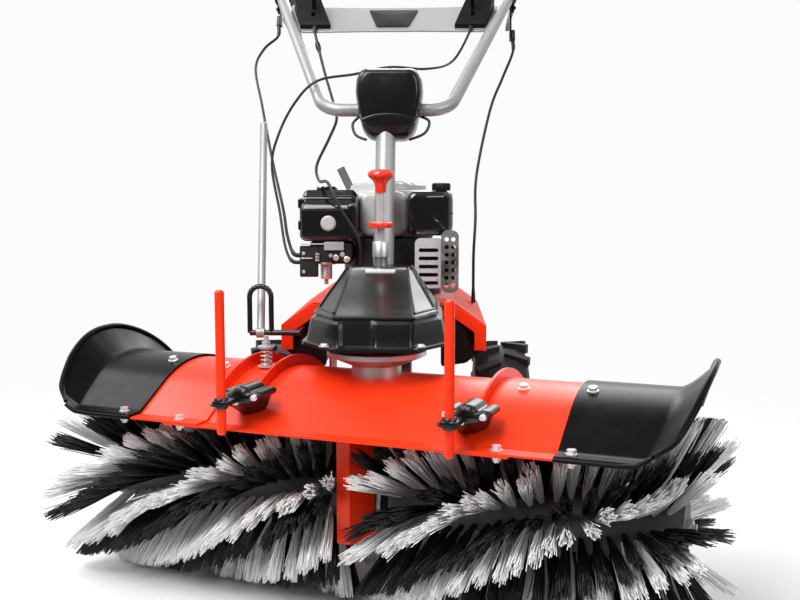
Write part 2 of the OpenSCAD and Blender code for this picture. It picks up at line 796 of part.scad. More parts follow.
module swivel_dish()
  machine()
    color(silver)
      difference() {
        union() {
          translate([0, 0, dish_z]) cylinder(h = 16, r1 = collar_d / 2 + 2, r2 = dish_d / 2);
          translate([0, 0, dish_z + 16]) cylinder(h = beam_z + rise - beam_t - dish_z - 16 - seat, r = dish_d / 2);
        }
        cylinder(h = 600, r = pin_d / 2 + run);
      }

cover_wall = 3;
cover_z = beam_z + seat;
cover_top = 536;

module cover_slab(half, front, corner, back, z, t, inset)
  translate([0, 0, z])
    linear_extrude(t)
      polygon([
        [-half + inset, back - inset], [-half + inset, corner], [-half * 0.48 + inset * 0.6, front + inset],
        [half * 0.48 - inset * 0.6, front + inset], [half - inset, corner], [half - inset, back - inset]
      ]);

module cover_solid(inset)
  hull() {
    cover_slab(112, -94, -14, 160, cover_z, 1, inset);
    cover_slab(104, -88, -10, 160, cover_z + 50, 1, inset);
    translate([-54 + inset, plunger_y - 42 + inset, cover_top - inset - 1])
      cube([108 - 2 * inset, 160 - plunger_y + 42 - 2 * inset, 1]);
  }

module belt_cover()
  upper()
    color(black)
      difference() {
        union() {
          cover_solid(0);
          cover_slab(119, -102, -16, 160, cover_z, 6, 0);
        }
        translate([0, 0, -1.5]) cover_solid(cover_wall);
        translate([0, plunger_y, cover_z]) cylinder(h = 200, r = sleeve_r + pass);
        translate([-pulley_big / 2, 150, cover_z - 1]) cube([pulley_big, 20, belt_z + 16 - cover_z]);
      }

module transmission_case()
  upper()
    color(grey)
      difference() {
        union() {
          along_x(-52, 52, 72, axle_y, axle_up);
          along_x(-wall_x + 9, wall_x - 9, 26, axle_y, axle_up);
          translate([-44, axle_y - 60, axle_up]) cube([88, 120, beam_z - beam_t - seat - axle_up]);
          translate([-64, axle_y - 75, beam_z - beam_t - seat - 10]) cube([128, 150, 10]);
        }
        along_x(-200, 200, axle_d / 2 + run, axle_y, axle_up);
      }

module wheel_axle()
  machine()
    color(steel)
      union() {
        along_x(-wheel_x - tyre_w / 2 - 16, wheel_x + tyre_w / 2 + 16, axle_d / 2, axle_y, axle_h);
        for (s = [-1, 1]) {
          translate([s * (wheel_x + hub_l / 2 + pass + 5), axle_y, axle_h])
            rotate([0, 90, 0])
              cylinder(h = 10, r = axle_d * 0.8, center = true, $fn = 6);
          translate([s * (wall_x + 8 + seat + (wheel_x - hub_l / 2 - pass - wall_x - 8 - seat) / 2), axle_y, axle_h])
            rotate([0, 90, 0])
              cylinder(h = wheel_x - hub_l / 2 - pass - wall_x - 8 - seat, r = axle_d / 2 + 6, center = true);
        }
      }

// wheels

hub_l = 96;

module tyre(side) {
  r = tyre_d / 2;
  w = tyre_w / 2;
  translate([side * wheel_x, axle_y, axle_h])
    rotate([0, 90, 0])
      union() {
        rotate_extrude()
          polygon([
            [rim_d / 2 + seat, -w * 0.72], [rim_d / 2 + 16, -w * 0.86], [r - 50, -w * 0.96], [r - 32, -w * 0.94],
            [r - 18, -w * 0.82], [r - 11, -w * 0.5], [r - 9.5, 0], [r - 11, w * 0.5], [r - 18, w * 0.82],
            [r - 32, w * 0.94], [r - 50, w * 0.96], [rim_d / 2 + 16, w * 0.86], [rim_d / 2 + seat, w * 0.72]
          ]);
        for (k = [0 : lugs - 1], s = [-1, 1])
          rotate([0, 0, 360 * (k + s * 0.25) / lugs])
            translate([0, 0, s * w * 0.52])
              rotate([-s * 28, 0, 0])
                translate([r - 19, -6, -w * 0.46])
                  cube([18, 12, w * 0.92]);
      }
}

module left_tyre() machine() color(rubber) tyre(-1);

module right_tyre() machine() color(rubber) tyre(1);

module rim(side)
  translate([side * wheel_x, axle_y, axle_h])
    rotate([0, 90, 0])
      difference() {
        union() {
          rotate_extrude()
            polygon([
              [rim_d / 2 - 7, -tyre_w * 0.36], [rim_d / 2, -tyre_w * 0.36], [rim_d / 2, tyre_w * 0.36],
              [rim_d / 2 - 7, tyre_w * 0.36]
            ]);
          translate([0, 0, -4]) cylinder(h = 8, r = rim_d / 2 - 3);
          cylinder(h = hub_l, r = axle_d / 2 + 11, center = true);
        }
        cylinder(h = 200, r = axle_d / 2 + run, center = true);
        for (k = [0 : 4]) rotate([0, 0, 72 * k]) translate([rim_d * 0.31, 0, -20]) cylinder(h = 40, r = 11);
      }

module left_rim() machine() color(silver) rim(-1);

module right_rim() machine() color(silver) rim(1);

// engine

module engine_block()
  upper()
    color(grey)
      difference() {
        union() {
          translate([0, engine_y, deck_z + seat]) cylinder(h = 14, r = 105);
          translate([0, engine_y, deck_z + 10]) cylinder(h = 104, r = 88);
          translate([-48, 290, deck_z + 24]) cube([96, engine_y - 290, 84]);
          for (k = [0 : 5]) translate([-56, 288 + 11 * k, deck_z + 18]) cube([112, 5, 94]);
          translate([0, 272, deck_z + 62]) rotate([-90, 0, 0]) cylinder(h = 20, r = 9);
        }
        translate([0, engine_y, deck_z - 10]) cylinder(h = 60, r = drive_d / 2 + 2 * run);
      }

shroud_z = deck_z + 114 + seat;

module blower_shroud()
  upper()
    color(silver)
      union() {
        translate([0, engine_y, shroud_z]) cylinder(h = 74, r = 100);
        translate([0, engine_y, shroud_z + 74]) cylinder(h = 16, r1 = 100, r2 = 84);
        translate([0, engine_y, shroud_z + 89]) cylinder(h = 12, r1 = 76, r2 = 70);
        translate([0, engine_y, shroud_z + 100]) cylinder(h = 6, r = 30);
        block(-50, 40, 296, engine_y, shroud_z, shroud_z + 86, 14);
      }

module air_filter_box()
  upper()
    color(black)
      difference() {
        union() {
          block(-155, -50 - seat, 252, 318, box_low, box_top, 13);
          block(-150, -57, 317, 335, box_low + 5, box_top - 5, 10);
          block(-158, -50 - seat, 268, 274, box_low - 3, box_top + 3, 14);
        }
        translate([-170, 0, 0])
          rotate([90, 0, 90])
            linear_extrude(140)
              polygon([[240, box_top - 40], [290, box_top + 0.6], [290, box_top + 9], [240, box_top + 9]]);
      }

module air_filter_disc()
  upper()
    color(silver)
      translate([-103, 252 - seat, 604])
        rotate([90, 0, 0]) {
          cylinder(h = 3, r = 14);
          translate([0, 0, 3]) cylinder(h = 2, r1 = 14, r2 = 11);
        }

module carburettor()
  upper()
    color(steel)
      union() {
        block(-140, -62, 268, 330, 528, box_low - 3 - seat, 6);
        translate([-106, 294, 495]) cylinder(h = 34, r = 22);
        translate([-106, 294, 489]) cylinder(h = 7, r = 7);
        translate([-158, 262, 508]) cube([18.5, 60, 56]);
        translate([-86, 262, 536]) rotate([-90, 0, 0]) cylinder(h = 8, r = 9);
        along_x(-63, -56 - seat, 14, 312, 548);
      }

module fuel_tank()
  upper()
    color(black)
      union() {
        block(40 + seat, tank_x, 250, 318, box_low + 8, box_top - 2, 18);
        block(100 + seat, tank_x, 317, 440, box_low + 8, box_top - 2, 12);
        translate([cap_x, cap_y, box_top - 12]) cylinder(h = 20, r = neck_out);
      }

tank_x = 126;
cap_x = 104;
cap_y = 286;
neck_out = 11;

module fuel_cap()
  upper()
    color(black)
      translate([cap_x, cap_y, box_top - 2 + pass])
        difference() {
          union() {
            cylinder(h = 15, r = neck_out + 5);
            for (k = [0 : 11]) rotate([0, 0, 30 * k]) translate([neck_out + 4, -1.5, 0]) cube([2.5, 3, 14]);
          }
          translate([0, 0, -1]) cylinder(h = 11 + pass, r = neck_out + run);
        }

module muffler()
  upper()
    color(steel)
      union() {
        block(66, 130, 262, 330, 490, 566, 12);
        along_x(56 + seat, 68, 13, 312, 530);
      }

guard_z = 492;
slot_step = 15;
hole_step = 14;

// a slotted plate before the muffler, and beside it a deeper band full of holes
module muffler_guard()
  upper()
    color(silver)
      union() {
        difference() {
          union() {
            block(56 + seat, 108, 240, 261, guard_z - 6, guard_z + 85, 10);
            block(104, 136, 228, 250 - pass, guard_z - 13, guard_z + 100, 12);
          }
          block(60, 101, 244, 275, guard_z - 2, guard_z + 81, 7);
          block(108, 132, 232, 260, guard_z - 9, guard_z + 96, 9);
          for (k = [0 : 4]) block(63, 99, 230, 250, guard_z + slot_step * k, guard_z + slot_step * k + 7, 3.4);
          for (k = [0 : 6], x = [114, 126]) {
            translate([x, 240, guard_z + hole_step * k]) rotate([90, 0, 0]) cylinder(h = 20, r = 4);
          }
        }
        for (k = [1, 3]) {
          translate([81, 262 - seat, guard_z + slot_step * k + 11]) rotate([90, 0, 0]) cylinder(h = 20, r = 3.4);
        }
      }

filler_foot = [-74, engine_y + 78, engine_z + 2.23];
filler_top = filler_foot + [-6, 12, 192];
filler_grip = [-24, 0, 42];

module oil_filler()
  upper()
    color(grey)
      union() {
        rod(filler_foot, filler_top, 11);
        rod(filler_top - [0, 0, 8], filler_top + filler_grip, 8.5);
      }

// handle

barrel_half = 40;
pivot_r = bar_d / 2 + 0.2;

module column()
  upper()
    color(silver)
      difference() {
        union() {
          intersection() {
            rod(column_foot - 30 * column_dir, column_foot + norm(bar_mid - column_foot) * column_dir, column_d / 2);
            translate([-100, 0, deck_z - deck_t]) cube([200, 800, 800]);
          }
          along_x(-barrel_half, barrel_half, bar_d / 2 + 9, head_y, head_z);
        }
        along_x(-200, 200, pivot_r + run, head_y, head_z);
      }

module head_cover()
  upper()
    color(black)
      difference() {
        union() {
          block(-58, 70, head_y - 46, head_y + 44, head_z - 28, head_z + 76, 22);
          block(-50, 62, head_y - 46, head_y + 30, head_z - 58, head_z, 18);
        }
        block(-54, 66, head_y - 42, head_y + 60, head_z - 27, head_z + 72, 19);
        block(-46, 58, head_y - 42, head_y + 60, head_z - 70, head_z - 4, 15);
        along_x(-200, 200, bar_d / 2 + 2, head_y, head_z);
        rod(column_foot, column_foot + 500 * column_dir, column_d / 2 + seat);
      }

bar_bend = 50;
pivot_half = 76;

module bar_arm()
  sweep(eased([[pivot_half - 6, head_y, head_z], bar_corner, bar_top, bar_end], bar_bend, 8), bar_d / 2, 20, [0, 0, 1]);

module handlebar()
  upper()
    color(silver)
      union() {
        along_x(-pivot_half, pivot_half, pivot_r, head_y, head_z);
        bar_arm();
        mirror([1, 0, 0]) bar_arm();
      }

// lays a child in the plane of the two bars, s along them from the corner and flat side up
module bar_plane(s)
  translate(bar_mid + s * [0, bar_dir[1], bar_dir[2]])
    rotate([slope, 0, 0])
      children();

panel_l = 110;
panel_drop = 16;
plane_l = norm([bar_dir[1], bar_dir[2]]);
bar_lean = atan2(bar_dir[0], plane_l);
s_top = panel_s + panel_l / plane_l;
s_low = panel_s - panel_drop / plane_l;
function bar_half(s) = bar_x0 + s * bar_dir[0] - (bar_d / 2 + seat) / cos(bar_lean);

module control_panel()
  upper()
    color(silver)
      bar_plane(panel_s)
        difference() {
          union() {
            translate([0, 0, -1])
              linear_extrude(2)
                polygon([
                  [-bar_half(s_low), -panel_drop], [-100, 3 - panel_drop], [-50, 4 - panel_drop],
                  [50, 4 - panel_drop], [100, 3 - panel_drop], [bar_half(s_low), -panel_drop],
                  [bar_half(s_top), panel_l], [110, panel_l - 7], [50, panel_l - 9], [-50, panel_l - 9],
                  [-110, panel_l - 7], [-bar_half(s_top), panel_l]
                ]);
            translate([0, 0, 1 - 0.2])
              linear_extrude(1.2)
                polygon([[-34, 4], [34, 4], [54, panel_l - 24], [-54, panel_l - 24]]);
          }
          for (s = [-1, 1]) translate([s * slot_x - 5, 26, -3]) cube([10, 44, 6]);
        }

slot_x = 172;
slot_y = 48;

box_back = 92;
box_pin_r = 3;
s_back = panel_s + box_back / plane_l;
box_pin_z = 14;

// a wedge that stands on the panel and leans with the bar beside it, slotted for its lever
module control_box() {
  difference() {
    intersection() {
      translate([0, 0, 1 + seat])
        linear_extrude(60)
          polygon([
            [133, box_front], [bar_half(panel_s) - 3, box_front], [bar_half(s_back) - 5, box_back], [165, box_back]
          ]);
      translate([100, 0, 0])
        rotate([90, 0, 90])
          linear_extrude(160)
            polygon([[-6, 0], [-6, 9], [6, 14], [82, 38], [box_back + 2, 30], [box_back + 2, 0]]);
    }
    translate([slot_x - 4, 22, -5]) cube([8, 52, 80]);
  }
  along_x(slot_x - 5, slot_x + 5, box_pin_r, slot_y, box_pin_z);
}

module control_boxes()
  upper()
    color(black)
      bar_plane(panel_s) {
        control_box();
        mirror([1, 0, 0]) control_box();
      }

module box_lever(s, knob)
  bar_plane(panel_s)
    translate([s * slot_x, slot_y, box_pin_z])
      difference() {
        union() {
          along_x(-3.5, 3.5, 12, 0, 0);
          translate([-3, -4, 0]) cube([6, 8, 44]);
          translate([0, 0, 44]) cylinder(h = 22, r1 = knob - 3, r2 = knob);
          translate([0, 0, 66]) cylinder(h = 3, r1 = knob, r2 = knob - 3);
        }
        along_x(-10, 10, box_pin_r + run, 0, 0);
      }

module gear_lever() upper() color(black) box_lever(-1, 11);

module throttle_lever() upper() color(black) box_lever(1, 9);

plate_t = 4.7;
lever_t = 8;
lever_x0 = lever_pin[0] - lever_t / 2;

module bracket_plate(tip)
  difference() {
    union() {
      translate([lever_x0 - pass - plate_t, 0, 0])
        rotate([90, 0, 90])
          linear_extrude(plate_t)
            polygon([
              [lever_pin[1] - 12, lever_pin[2] - 10], [lever_pin[1] + 12, lever_pin[2] - 10],
              [lever_pin[1] + 12, lever_pin[2] + 34], [lever_pin[1] - 26, lever_pin[2] + 30],
              [tip[1] - 7, tip[2] + 2], [tip[1] + 7, tip[2] - 2]
            ]);
      along_x(lever_x0 - pass - plate_t, lever_x0 + lever_t + 4, lever_pin_d / 2, lever_pin[1], lever_pin[2]);
      rod(bar_top - 0.17 * bar_dir, bar_top - 0.08 * bar_dir, bar_d / 2 + 5);
      rod(tip, tip + 24 * unit(ferrule_dir), 6);
    }
    rod(bar_corner, bar_top + 0.2 * bar_dir, bar_d / 2 + pass);
    rod(bar_top, bar_end, bar_d / 2 + 1);
  }

module lever_brackets()
  upper()
    color(black) {
      bracket_plate(right_tip);
      mirror([1, 0, 0]) bracket_plate(left_tip);
    }

module hand_lever()
  difference() {
    union() {
      along_x(lever_x0, lever_x0 + lever_t, 11, lever_pin[1], lever_pin[2]);
      translate([lever_x0, 0, 0])
        rotate([90, 0, 90])
          linear_extrude(lever_t)
            polygon([
              [lever_pin[1] + 2, lever_pin[2] + 8], [lever_pin[1] + 60, lever_pin[2] + 2],
              [lever_pin[1] + 172, lever_pin[2] - 12], [lever_pin[1] + 178, lever_pin[2] - 20],
              [lever_pin[1] + 170, lever_pin[2] - 26], [lever_pin[1] + 60, lever_pin[2] - 11],
              [lever_pin[1] + 2, lever_pin[2] - 8]
            ]);
    }
    along_x(lever_x0 - 20, lever_x0 + 40, lever_pin_d / 2 + run, lever_pin[1], lever_pin[2]);
  }

module right_lever() upper() color(black) hand_lever();

module left_lever() upper() color(black) mirror([1, 0, 0]) hand_lever();

module grips()
  upper()
    color(rubber) {
      grip();
      mirror([1, 0, 0]) grip();
    }

module grip() {
  d = unit(bar_end - bar_top);
  difference() {
    union() {
      rod(bar_end - (grip_l - 4) * d, bar_end + 5 * d, grip_d / 2);
      rod(bar_end - grip_l * d, bar_end - (grip_l - 5) * d, grip_d / 2 + 5);
    }
    rod(bar_end - (grip_l + 20) * d, bar_end + seat * d, bar_d / 2 + seat);
  }
}

module clutch_cables()
  upper()
    color(rubber) {
      sweep(spline(left_run, 3), cable_r, 8, [1, 0, 0]);
      sweep(spline(right_run, 3), cable_r, 8, [1, 0, 0]);
    }

module shift_cable() upper() color(rubber) sweep(spline(shift_run, 3), cable_r, 8, [1, 0, 0.2]);

module throttle_cable() upper() color(rubber) sweep(spline(throttle_run, 3), cable_r, 8, [0.1, 1, -0.6]);

// swivel lock

sleeve_r = 17;
sleeve_top = 577;

module plunger_sleeve()
  upper()
    color(silver)
      translate([0, plunger_y, 0])
        difference() {
          union() {
            translate([0, 0, beam_z + seat]) cylinder(h = 550 - beam_z, r = sleeve_r);
            translate([0, 0, 549]) cylinder(h = sleeve_top - 549, r = 13.5);
          }
          translate([0, 0, beam_z + 2]) cylinder(h = 200, r = plunger_d / 2 + run);
        }

module plunger_rod()
  upper()
    color(silver)
      translate([0, plunger_y, beam_z + 4])
        cylinder(h = 684 - beam_z - 4, r = plunger_d / 2);

module plunger_knob()
  upper()
    color(red)
      translate([0, plunger_y, 0]) {
        difference() {
          union() {
            translate([0, 0, 676]) cylinder(h = 8, r1 = knob_d * 0.3, r2 = knob_d / 2);
            translate([0, 0, 684]) cylinder(h = 8, r = knob_d / 2);
            translate([0, 0, 692]) cylinder(h = 8, r1 = knob_d / 2, r2 = knob_d * 0.36);
          }
          translate([0, 0, 600]) cylinder(h = 84 + seat, r = plunger_d / 2 + seat);
        }
        difference() {
          translate([0, 0, 600]) cylinder(h = 10, r = knob_d / 2 - 2);
          translate([0, 0, 590]) cylinder(h = 40, r = plunger_d / 2 + seat);
          for (k = [0 : 5]) {
            rotate([0, 0, 60 * k]) translate([knob_d / 2 + 2, 0, 590]) cylinder(h = 40, r = 7);
          }
        }
      }

arm_y = 150;
arm_z = 415;
loop_r = 19;
loop_x = -213;

// inner face of the chassis bevel, less the gap of a seat
function bevel_in(x) =
  shoulder_z - 2 - 1.3 * seat
  + (side_x - deck_t - x) * (deck_z - deck_t - shoulder_z + 2) / (side_x - deck_t - deck_x + 1.4);

module lock_arm()
  upper()
    color(black)
      union() {
        bent_rod([
          [-deck_x - 16, deck_y0 + 14, arm_z], [-deck_x - 16, arm_y, arm_z], [loop_x - loop_r, arm_y, arm_z]
        ], arm_d / 2);
        translate([-deck_x - 16, deck_y0 + 26, 0])
          rotate([90, 0, 0])
            linear_extrude(14)
              polygon([[-7, arm_z - 12], [7, arm_z - 12], [7, bevel_in(deck_x + 9)], [-7, bevel_in(deck_x + 23)]]);
        bent_rod(eased([
          [loop_x + loop_r, arm_y, arm_z], [loop_x + loop_r, arm_y, 497], [loop_x - loop_r, arm_y, 497],
          [loop_x - loop_r, arm_y, arm_z]
        ], loop_r - 0.5, 5), arm_d / 2 - 0.5);
      }

stick_x = loop_x;
stick_top = [-241, 380, 791];

module swivel_lever()
  upper()
    color(silver)
      difference() {
        union() {
          rod([stick_x, arm_y, arm_z], stick_top, stick_d / 2);
          translate(stick_top) sphere(stick_d / 2);
          along_x(stick_x - 7, stick_x + 7, arm_d / 2 + 4, arm_y, arm_z);
        }
        along_x(stick_x - 40, stick_x + 40, arm_d / 2 + run, arm_y, arm_z);
      }

brush_shaft();
brush_cores();
white_bristles();
black_bristles();
hood_centre();
left_hood_wing();
right_hood_wing();
left_end_flare();
right_end_flare();
swivel_collar();
gearbox_case();
gearbox_shield();
post_brackets();
hood_bolts();
spring_bolt();
bolt_spring();
left_post();
right_post();
drive_shaft();
driven_pulley();
engine_pulley();
v_belt();
chassis_frame();
swivel_dish();
belt_cover();
transmission_case();
wheel_axle();
left_tyre();
left_rim();
right_tyre();
right_rim();
engine_block();
blower_shroud();
air_filter_box();
air_filter_disc();
carburettor();
fuel_tank();
fuel_cap();
muffler();
muffler_guard();
oil_filler();
column();
head_cover();
plunger_sleeve();
plunger_rod();
plunger_knob();
lock_arm();
swivel_lever();
handlebar();
control_panel();
control_boxes();
lever_brackets();
grips();
left_lever();
right_lever();
gear_lever();
throttle_lever();
clutch_cables();
shift_cable();
throttle_cable();
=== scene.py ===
"""Power brush sweeper: bristles, mouldings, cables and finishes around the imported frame."""

import bmesh
import bpy
import numpy as np
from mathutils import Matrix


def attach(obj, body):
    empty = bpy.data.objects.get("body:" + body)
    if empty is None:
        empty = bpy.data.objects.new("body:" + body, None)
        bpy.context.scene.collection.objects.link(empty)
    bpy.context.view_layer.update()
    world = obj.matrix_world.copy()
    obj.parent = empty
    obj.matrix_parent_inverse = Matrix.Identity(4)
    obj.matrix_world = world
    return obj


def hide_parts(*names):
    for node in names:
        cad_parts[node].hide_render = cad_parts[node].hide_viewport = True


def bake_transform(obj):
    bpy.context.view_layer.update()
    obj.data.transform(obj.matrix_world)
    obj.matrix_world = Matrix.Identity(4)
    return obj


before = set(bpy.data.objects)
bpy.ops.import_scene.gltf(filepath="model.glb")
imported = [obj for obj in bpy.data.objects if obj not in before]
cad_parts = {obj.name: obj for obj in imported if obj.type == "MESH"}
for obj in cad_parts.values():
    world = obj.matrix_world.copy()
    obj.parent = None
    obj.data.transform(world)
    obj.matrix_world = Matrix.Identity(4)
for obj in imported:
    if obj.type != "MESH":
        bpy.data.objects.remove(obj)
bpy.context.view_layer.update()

# The drive unit is drawn from the swivel axis on the floor; the row frame lies SHIFT behind that.
SHIFT = np.array([0.0, -0.318992, 0.0])
SWING = np.radians(20.0)
BRUSH_R = 0.170
CORE_R = 0.050
AXLE_Z = 0.170
HEAD = np.array([0.0, 0.331217, 0.815])
BAR_DIR = np.array([0.096, 0.288, 0.195])
BAR_R = 0.0125
BAR_BEND = 0.050
BAR_CORNER = HEAD + [0.118, 0, 0]
BAR_TOP = BAR_CORNER + 1.6 * BAR_DIR
BAR_END = BAR_TOP + [0.004, 0.192, 0.008]
ENGINE_Y = 0.420
PLUNGER_Y = 0.130
TANK_CAP = (0.104, 0.286)
CENTRE_HOOD_R = 0.2032
WING_HOOD_R = 0.2063


def unit(v):
    """Vectors divided by their lengths."""
    return v / np.linalg.norm(v, axis=-1, keepdims=True)


def rig(*xyz):
    """Points of the drive unit, moved into the row frame."""
    return np.stack(np.broadcast_arrays(*xyz), -1) + SHIFT


def on_brush(u, y, z):
    """Points of the brush head: u along the brush, y to the back, turned by the swivel at rest."""
    u, y, z = np.broadcast_arrays(u, y, z)
    return np.stack([u * np.cos(SWING) + y * np.sin(SWING),
                     -u * np.sin(SWING) + y * np.cos(SWING), z], -1) + SHIFT


def about_brush(u, r, a):
    """Points at radius r and angle a round the brush axis; a = 0 in front, 90 degrees on top."""
    return on_brush(u, -r * np.cos(a), AXLE_Z + r * np.sin(a))


class Form:
    """Points and faces gathered from grids until they become one mesh."""

    def __init__(self):
        self.points, self.faces, self.count = [], [], 0

    def add(self, points, faces):
        self.points.append(points.reshape(-1, 3))
        self.faces += (faces + self.count).tolist()
        self.count += len(self.points[-1])
        return self

    def grid(self, p, round_n=False, round_m=False, flip=False):
        """Quads between neighbours of an (n, m) array of points; a round side joins its last line to its
        first."""
        n, m = p.shape[:2]
        i = np.arange(n if round_n else n - 1)[:, None]
        j = np.arange(m if round_m else m - 1)[None, :]
        i1, j1 = (i + 1) % n, (j + 1) % m
        quads = np.stack([i * m + j, i * m + j1, i1 * m + j1, i1 * m + j], -1).reshape(-1, 4)
        return self.add(p, quads[:, ::-1] if flip else quads)

    def fan(self, loop, flip=False):
        """A closed loop of points filled by triangles to its mean point."""
        m = len(loop)
        j = np.arange(m)
        tris = np.stack([j, (j + 1) % m, np.full(m, m)], -1)
        return self.add(np.vstack([loop, loop.mean(0)]), tris[:, ::-1] if flip else tris)

    def loft(self, p):
        """Closed loops p[n] joined one to the next, with both ends filled."""
        return self.grid(p, round_m=True).fan(p[0], True).fan(p[-1])

    def piece(self, name, body, finish, slot, *nodes, sharp=35.0, weld=True):
        """The mesh as an object that rides on a body and may stand for CAD nodes; the slot argument is not
        used.
        """
        mesh = bpy.data.meshes.new(name)
        mesh.from_pydata(np.vstack(self.points).tolist(), [], self.faces)
        mesh.update()
        if weld:
            work = bmesh.new()
            work.from_mesh(mesh)
            bmesh.ops.remove_doubles(work, verts=work.verts, dist=1e-5)
            bmesh.ops.recalc_face_normals(work, faces=work.faces)
            work.to_mesh(mesh)
            work.free()
        mesh.polygons.foreach_set("use_smooth", np.ones(len(mesh.polygons), bool))
        mesh.set_sharp_from_angle(angle=np.radians(sharp))
        mesh.materials.append(finish.material)
        obj = bpy.data.objects.new(name, mesh)
        bpy.context.scene.collection.objects.link(obj)
        if body:
            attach(obj, body)
        if nodes:
            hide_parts(*nodes)
        return obj


def ring_frames(path, side):
    """Two directions across a path at each point: side crossed with the heading, and that crossed again."""
    t = unit(np.gradient(path, axis=0))
    a = unit(np.cross(t, np.asarray(side, float)))
    return a, np.cross(t, a)


def tube(path, radius, sides=16, side=(0, 0, 1)):
    """Rings of a round tube along a path, radius a number or one per point."""
    a, b = ring_frames(path, side)
    w = np.linspace(0, 2 * np.pi, sides, endpoint=False)[None, :, None]
    r = np.broadcast_to(radius, len(path))[:, None, None]
    return path[:, None] + r * (np.cos(w) * a[:, None] + np.sin(w) * b[:, None])


def lathe(profile, centre, axis=(0, 0, 1), sides=48):
    """A profile of (radius, height) turned about an axis through centre."""
    axis = unit(np.asarray(axis, float))
    helper = np.array([1.0, 0, 0]) if abs(axis[0]) < 0.9 else np.array([0, 1.0, 0])
    a = unit(np.cross(axis, helper))
    b = np.cross(axis, a)
    w = np.linspace(0, 2 * np.pi, sides, endpoint=False)[None, :, None]
    r, h = np.asarray(profile, float).T[:, :, None, None]
    return np.asarray(centre) + h * axis + r * (np.cos(w) * a + np.sin(w) * b)


def spline(points, n):
    """Catmull-Rom curve through points, n steps a span."""
    p = np.asarray(points, float)
    q = np.vstack([p[:1], p, p[-1:]])
    a, b, c, d = (q[k:len(q) - 3 + k][:, None] for k in range(4))
    t = np.linspace(0, 1, n, endpoint=False)[None, :, None]
    square, cube = 2 * a - 5 * b + 4 * c - d, 3 * b - a - 3 * c + d
    s = 0.5 * (2 * b + (c - a) * t + square * t ** 2 + cube * t ** 3)
    return np.vstack([s.reshape(-1, 3), p[-1:]])


def arc_corner(a, b, c, radius, n=14):
    """Points of a round corner of a bent tube: an arc of the radius that touches a-b and b-c."""
    d, e = unit(b - a), unit(c - b)
    turn = np.arccos(d @ e)
    w = unit(e - (e @ d) * d)
    o = b - radius * np.tan(turn / 2) * d + radius * w
    k = np.linspace(0, turn, n)[:, None]
    return o + radius * (np.sin(k) * d - np.cos(k) * w)


def smooth_loop(corners, n, blur):
    """A closed polygon walked at n even steps, its corners rounded by a mean over a sliding window that
    reaches blur to each side."""
    c = np.asarray(corners, float)
    nxt = np.roll(c, -1, 0)
    lengths = np.linalg.norm(nxt - c, axis=1)
    stops = np.concatenate([[0], np.cumsum(lengths)])
    s = np.linspace(0, stops[-1], n, endpoint=False)
    closed = np.vstack([c, c[:1]])
    p = np.stack([np.interp(s, stops, closed[:, k]) for k in range(c.shape[1])], -1)
    w = max(1, int(round(blur / (stops[-1] / n))))
    shifts = np.arange(-w, w + 1)
    return p[(np.arange(n)[:, None] + shifts) % n].mean(1)


def inset(loop, depth):
    """A closed outline drawn in along its normals."""
    ahead = unit(np.roll(loop, -1, 0) - np.roll(loop, 1, 0))
    return loop - depth * np.stack([ahead[:, 1], -ahead[:, 0]], -1)


def pad(loop, place, low, high, edge, mids=()):
    """Rings of a thick plate: an outline carried from level low to high by place(outline, level), and drawn
    in along a quarter circle of size edge at both faces. Levels in mids add rings between."""
    x, y = loop.T
    if np.sum(x * np.roll(y, -1) - y * np.roll(x, -1)) < 0:
        loop = loop[::-1]
    q = np.linspace(0, np.pi / 2, 6)
    drawn, deep = edge * (1 - np.sin(q)), edge * (1 - np.cos(q))
    drawn = np.concatenate([drawn, np.zeros(len(mids)), drawn[::-1]])
    level = np.concatenate([low + deep, np.asarray(mids, float), (high - deep)[::-1]])
    return np.stack([place(inset(loop, d), z) for d, z in zip(drawn, level)])


def upright(loop, y):
    """An outline in X and Z of the drive unit, stood at depth y."""
    return rig(loop[:, 0], y, loop[:, 1])


def rect(x0, x1, z0, z1, r, n=96):
    """A rectangle with round corners as a loop: quarter circles at the four corners."""
    w = (np.arange(n) + 0.5) * 2 * np.pi / n
    c, d = np.cos(w), np.sin(w)
    return np.stack([(x0 + x1) / 2 + np.sign(c) * ((x1 - x0) / 2 - r) + r * c,
                     (z0 + z1) / 2 + np.sign(d) * ((z1 - z0) / 2 - r) + r * d], -1)


class Value:
    """A socket of a finish; arithmetic on it adds Math nodes."""

    def __init__(self, finish, socket):
        self.finish, self.socket = finish, socket

    def _math(self, operation, a, b):
        return self.finish.node("ShaderNodeMath", {"operation": operation}, {0: a, 1: b})

    def __add__(self, o): return self._math("ADD", self, o)
    def __radd__(self, o): return self._math("ADD", o, self)
    def __sub__(self, o): return self._math("SUBTRACT", self, o)
    def __rsub__(self, o): return self._math("SUBTRACT", o, self)
    def __mul__(self, o): return self._math("MULTIPLY", self, o)
    def __rmul__(self, o): return self._math("MULTIPLY", o, self)
    def __pow__(self, o): return self._math("POWER", self, o)


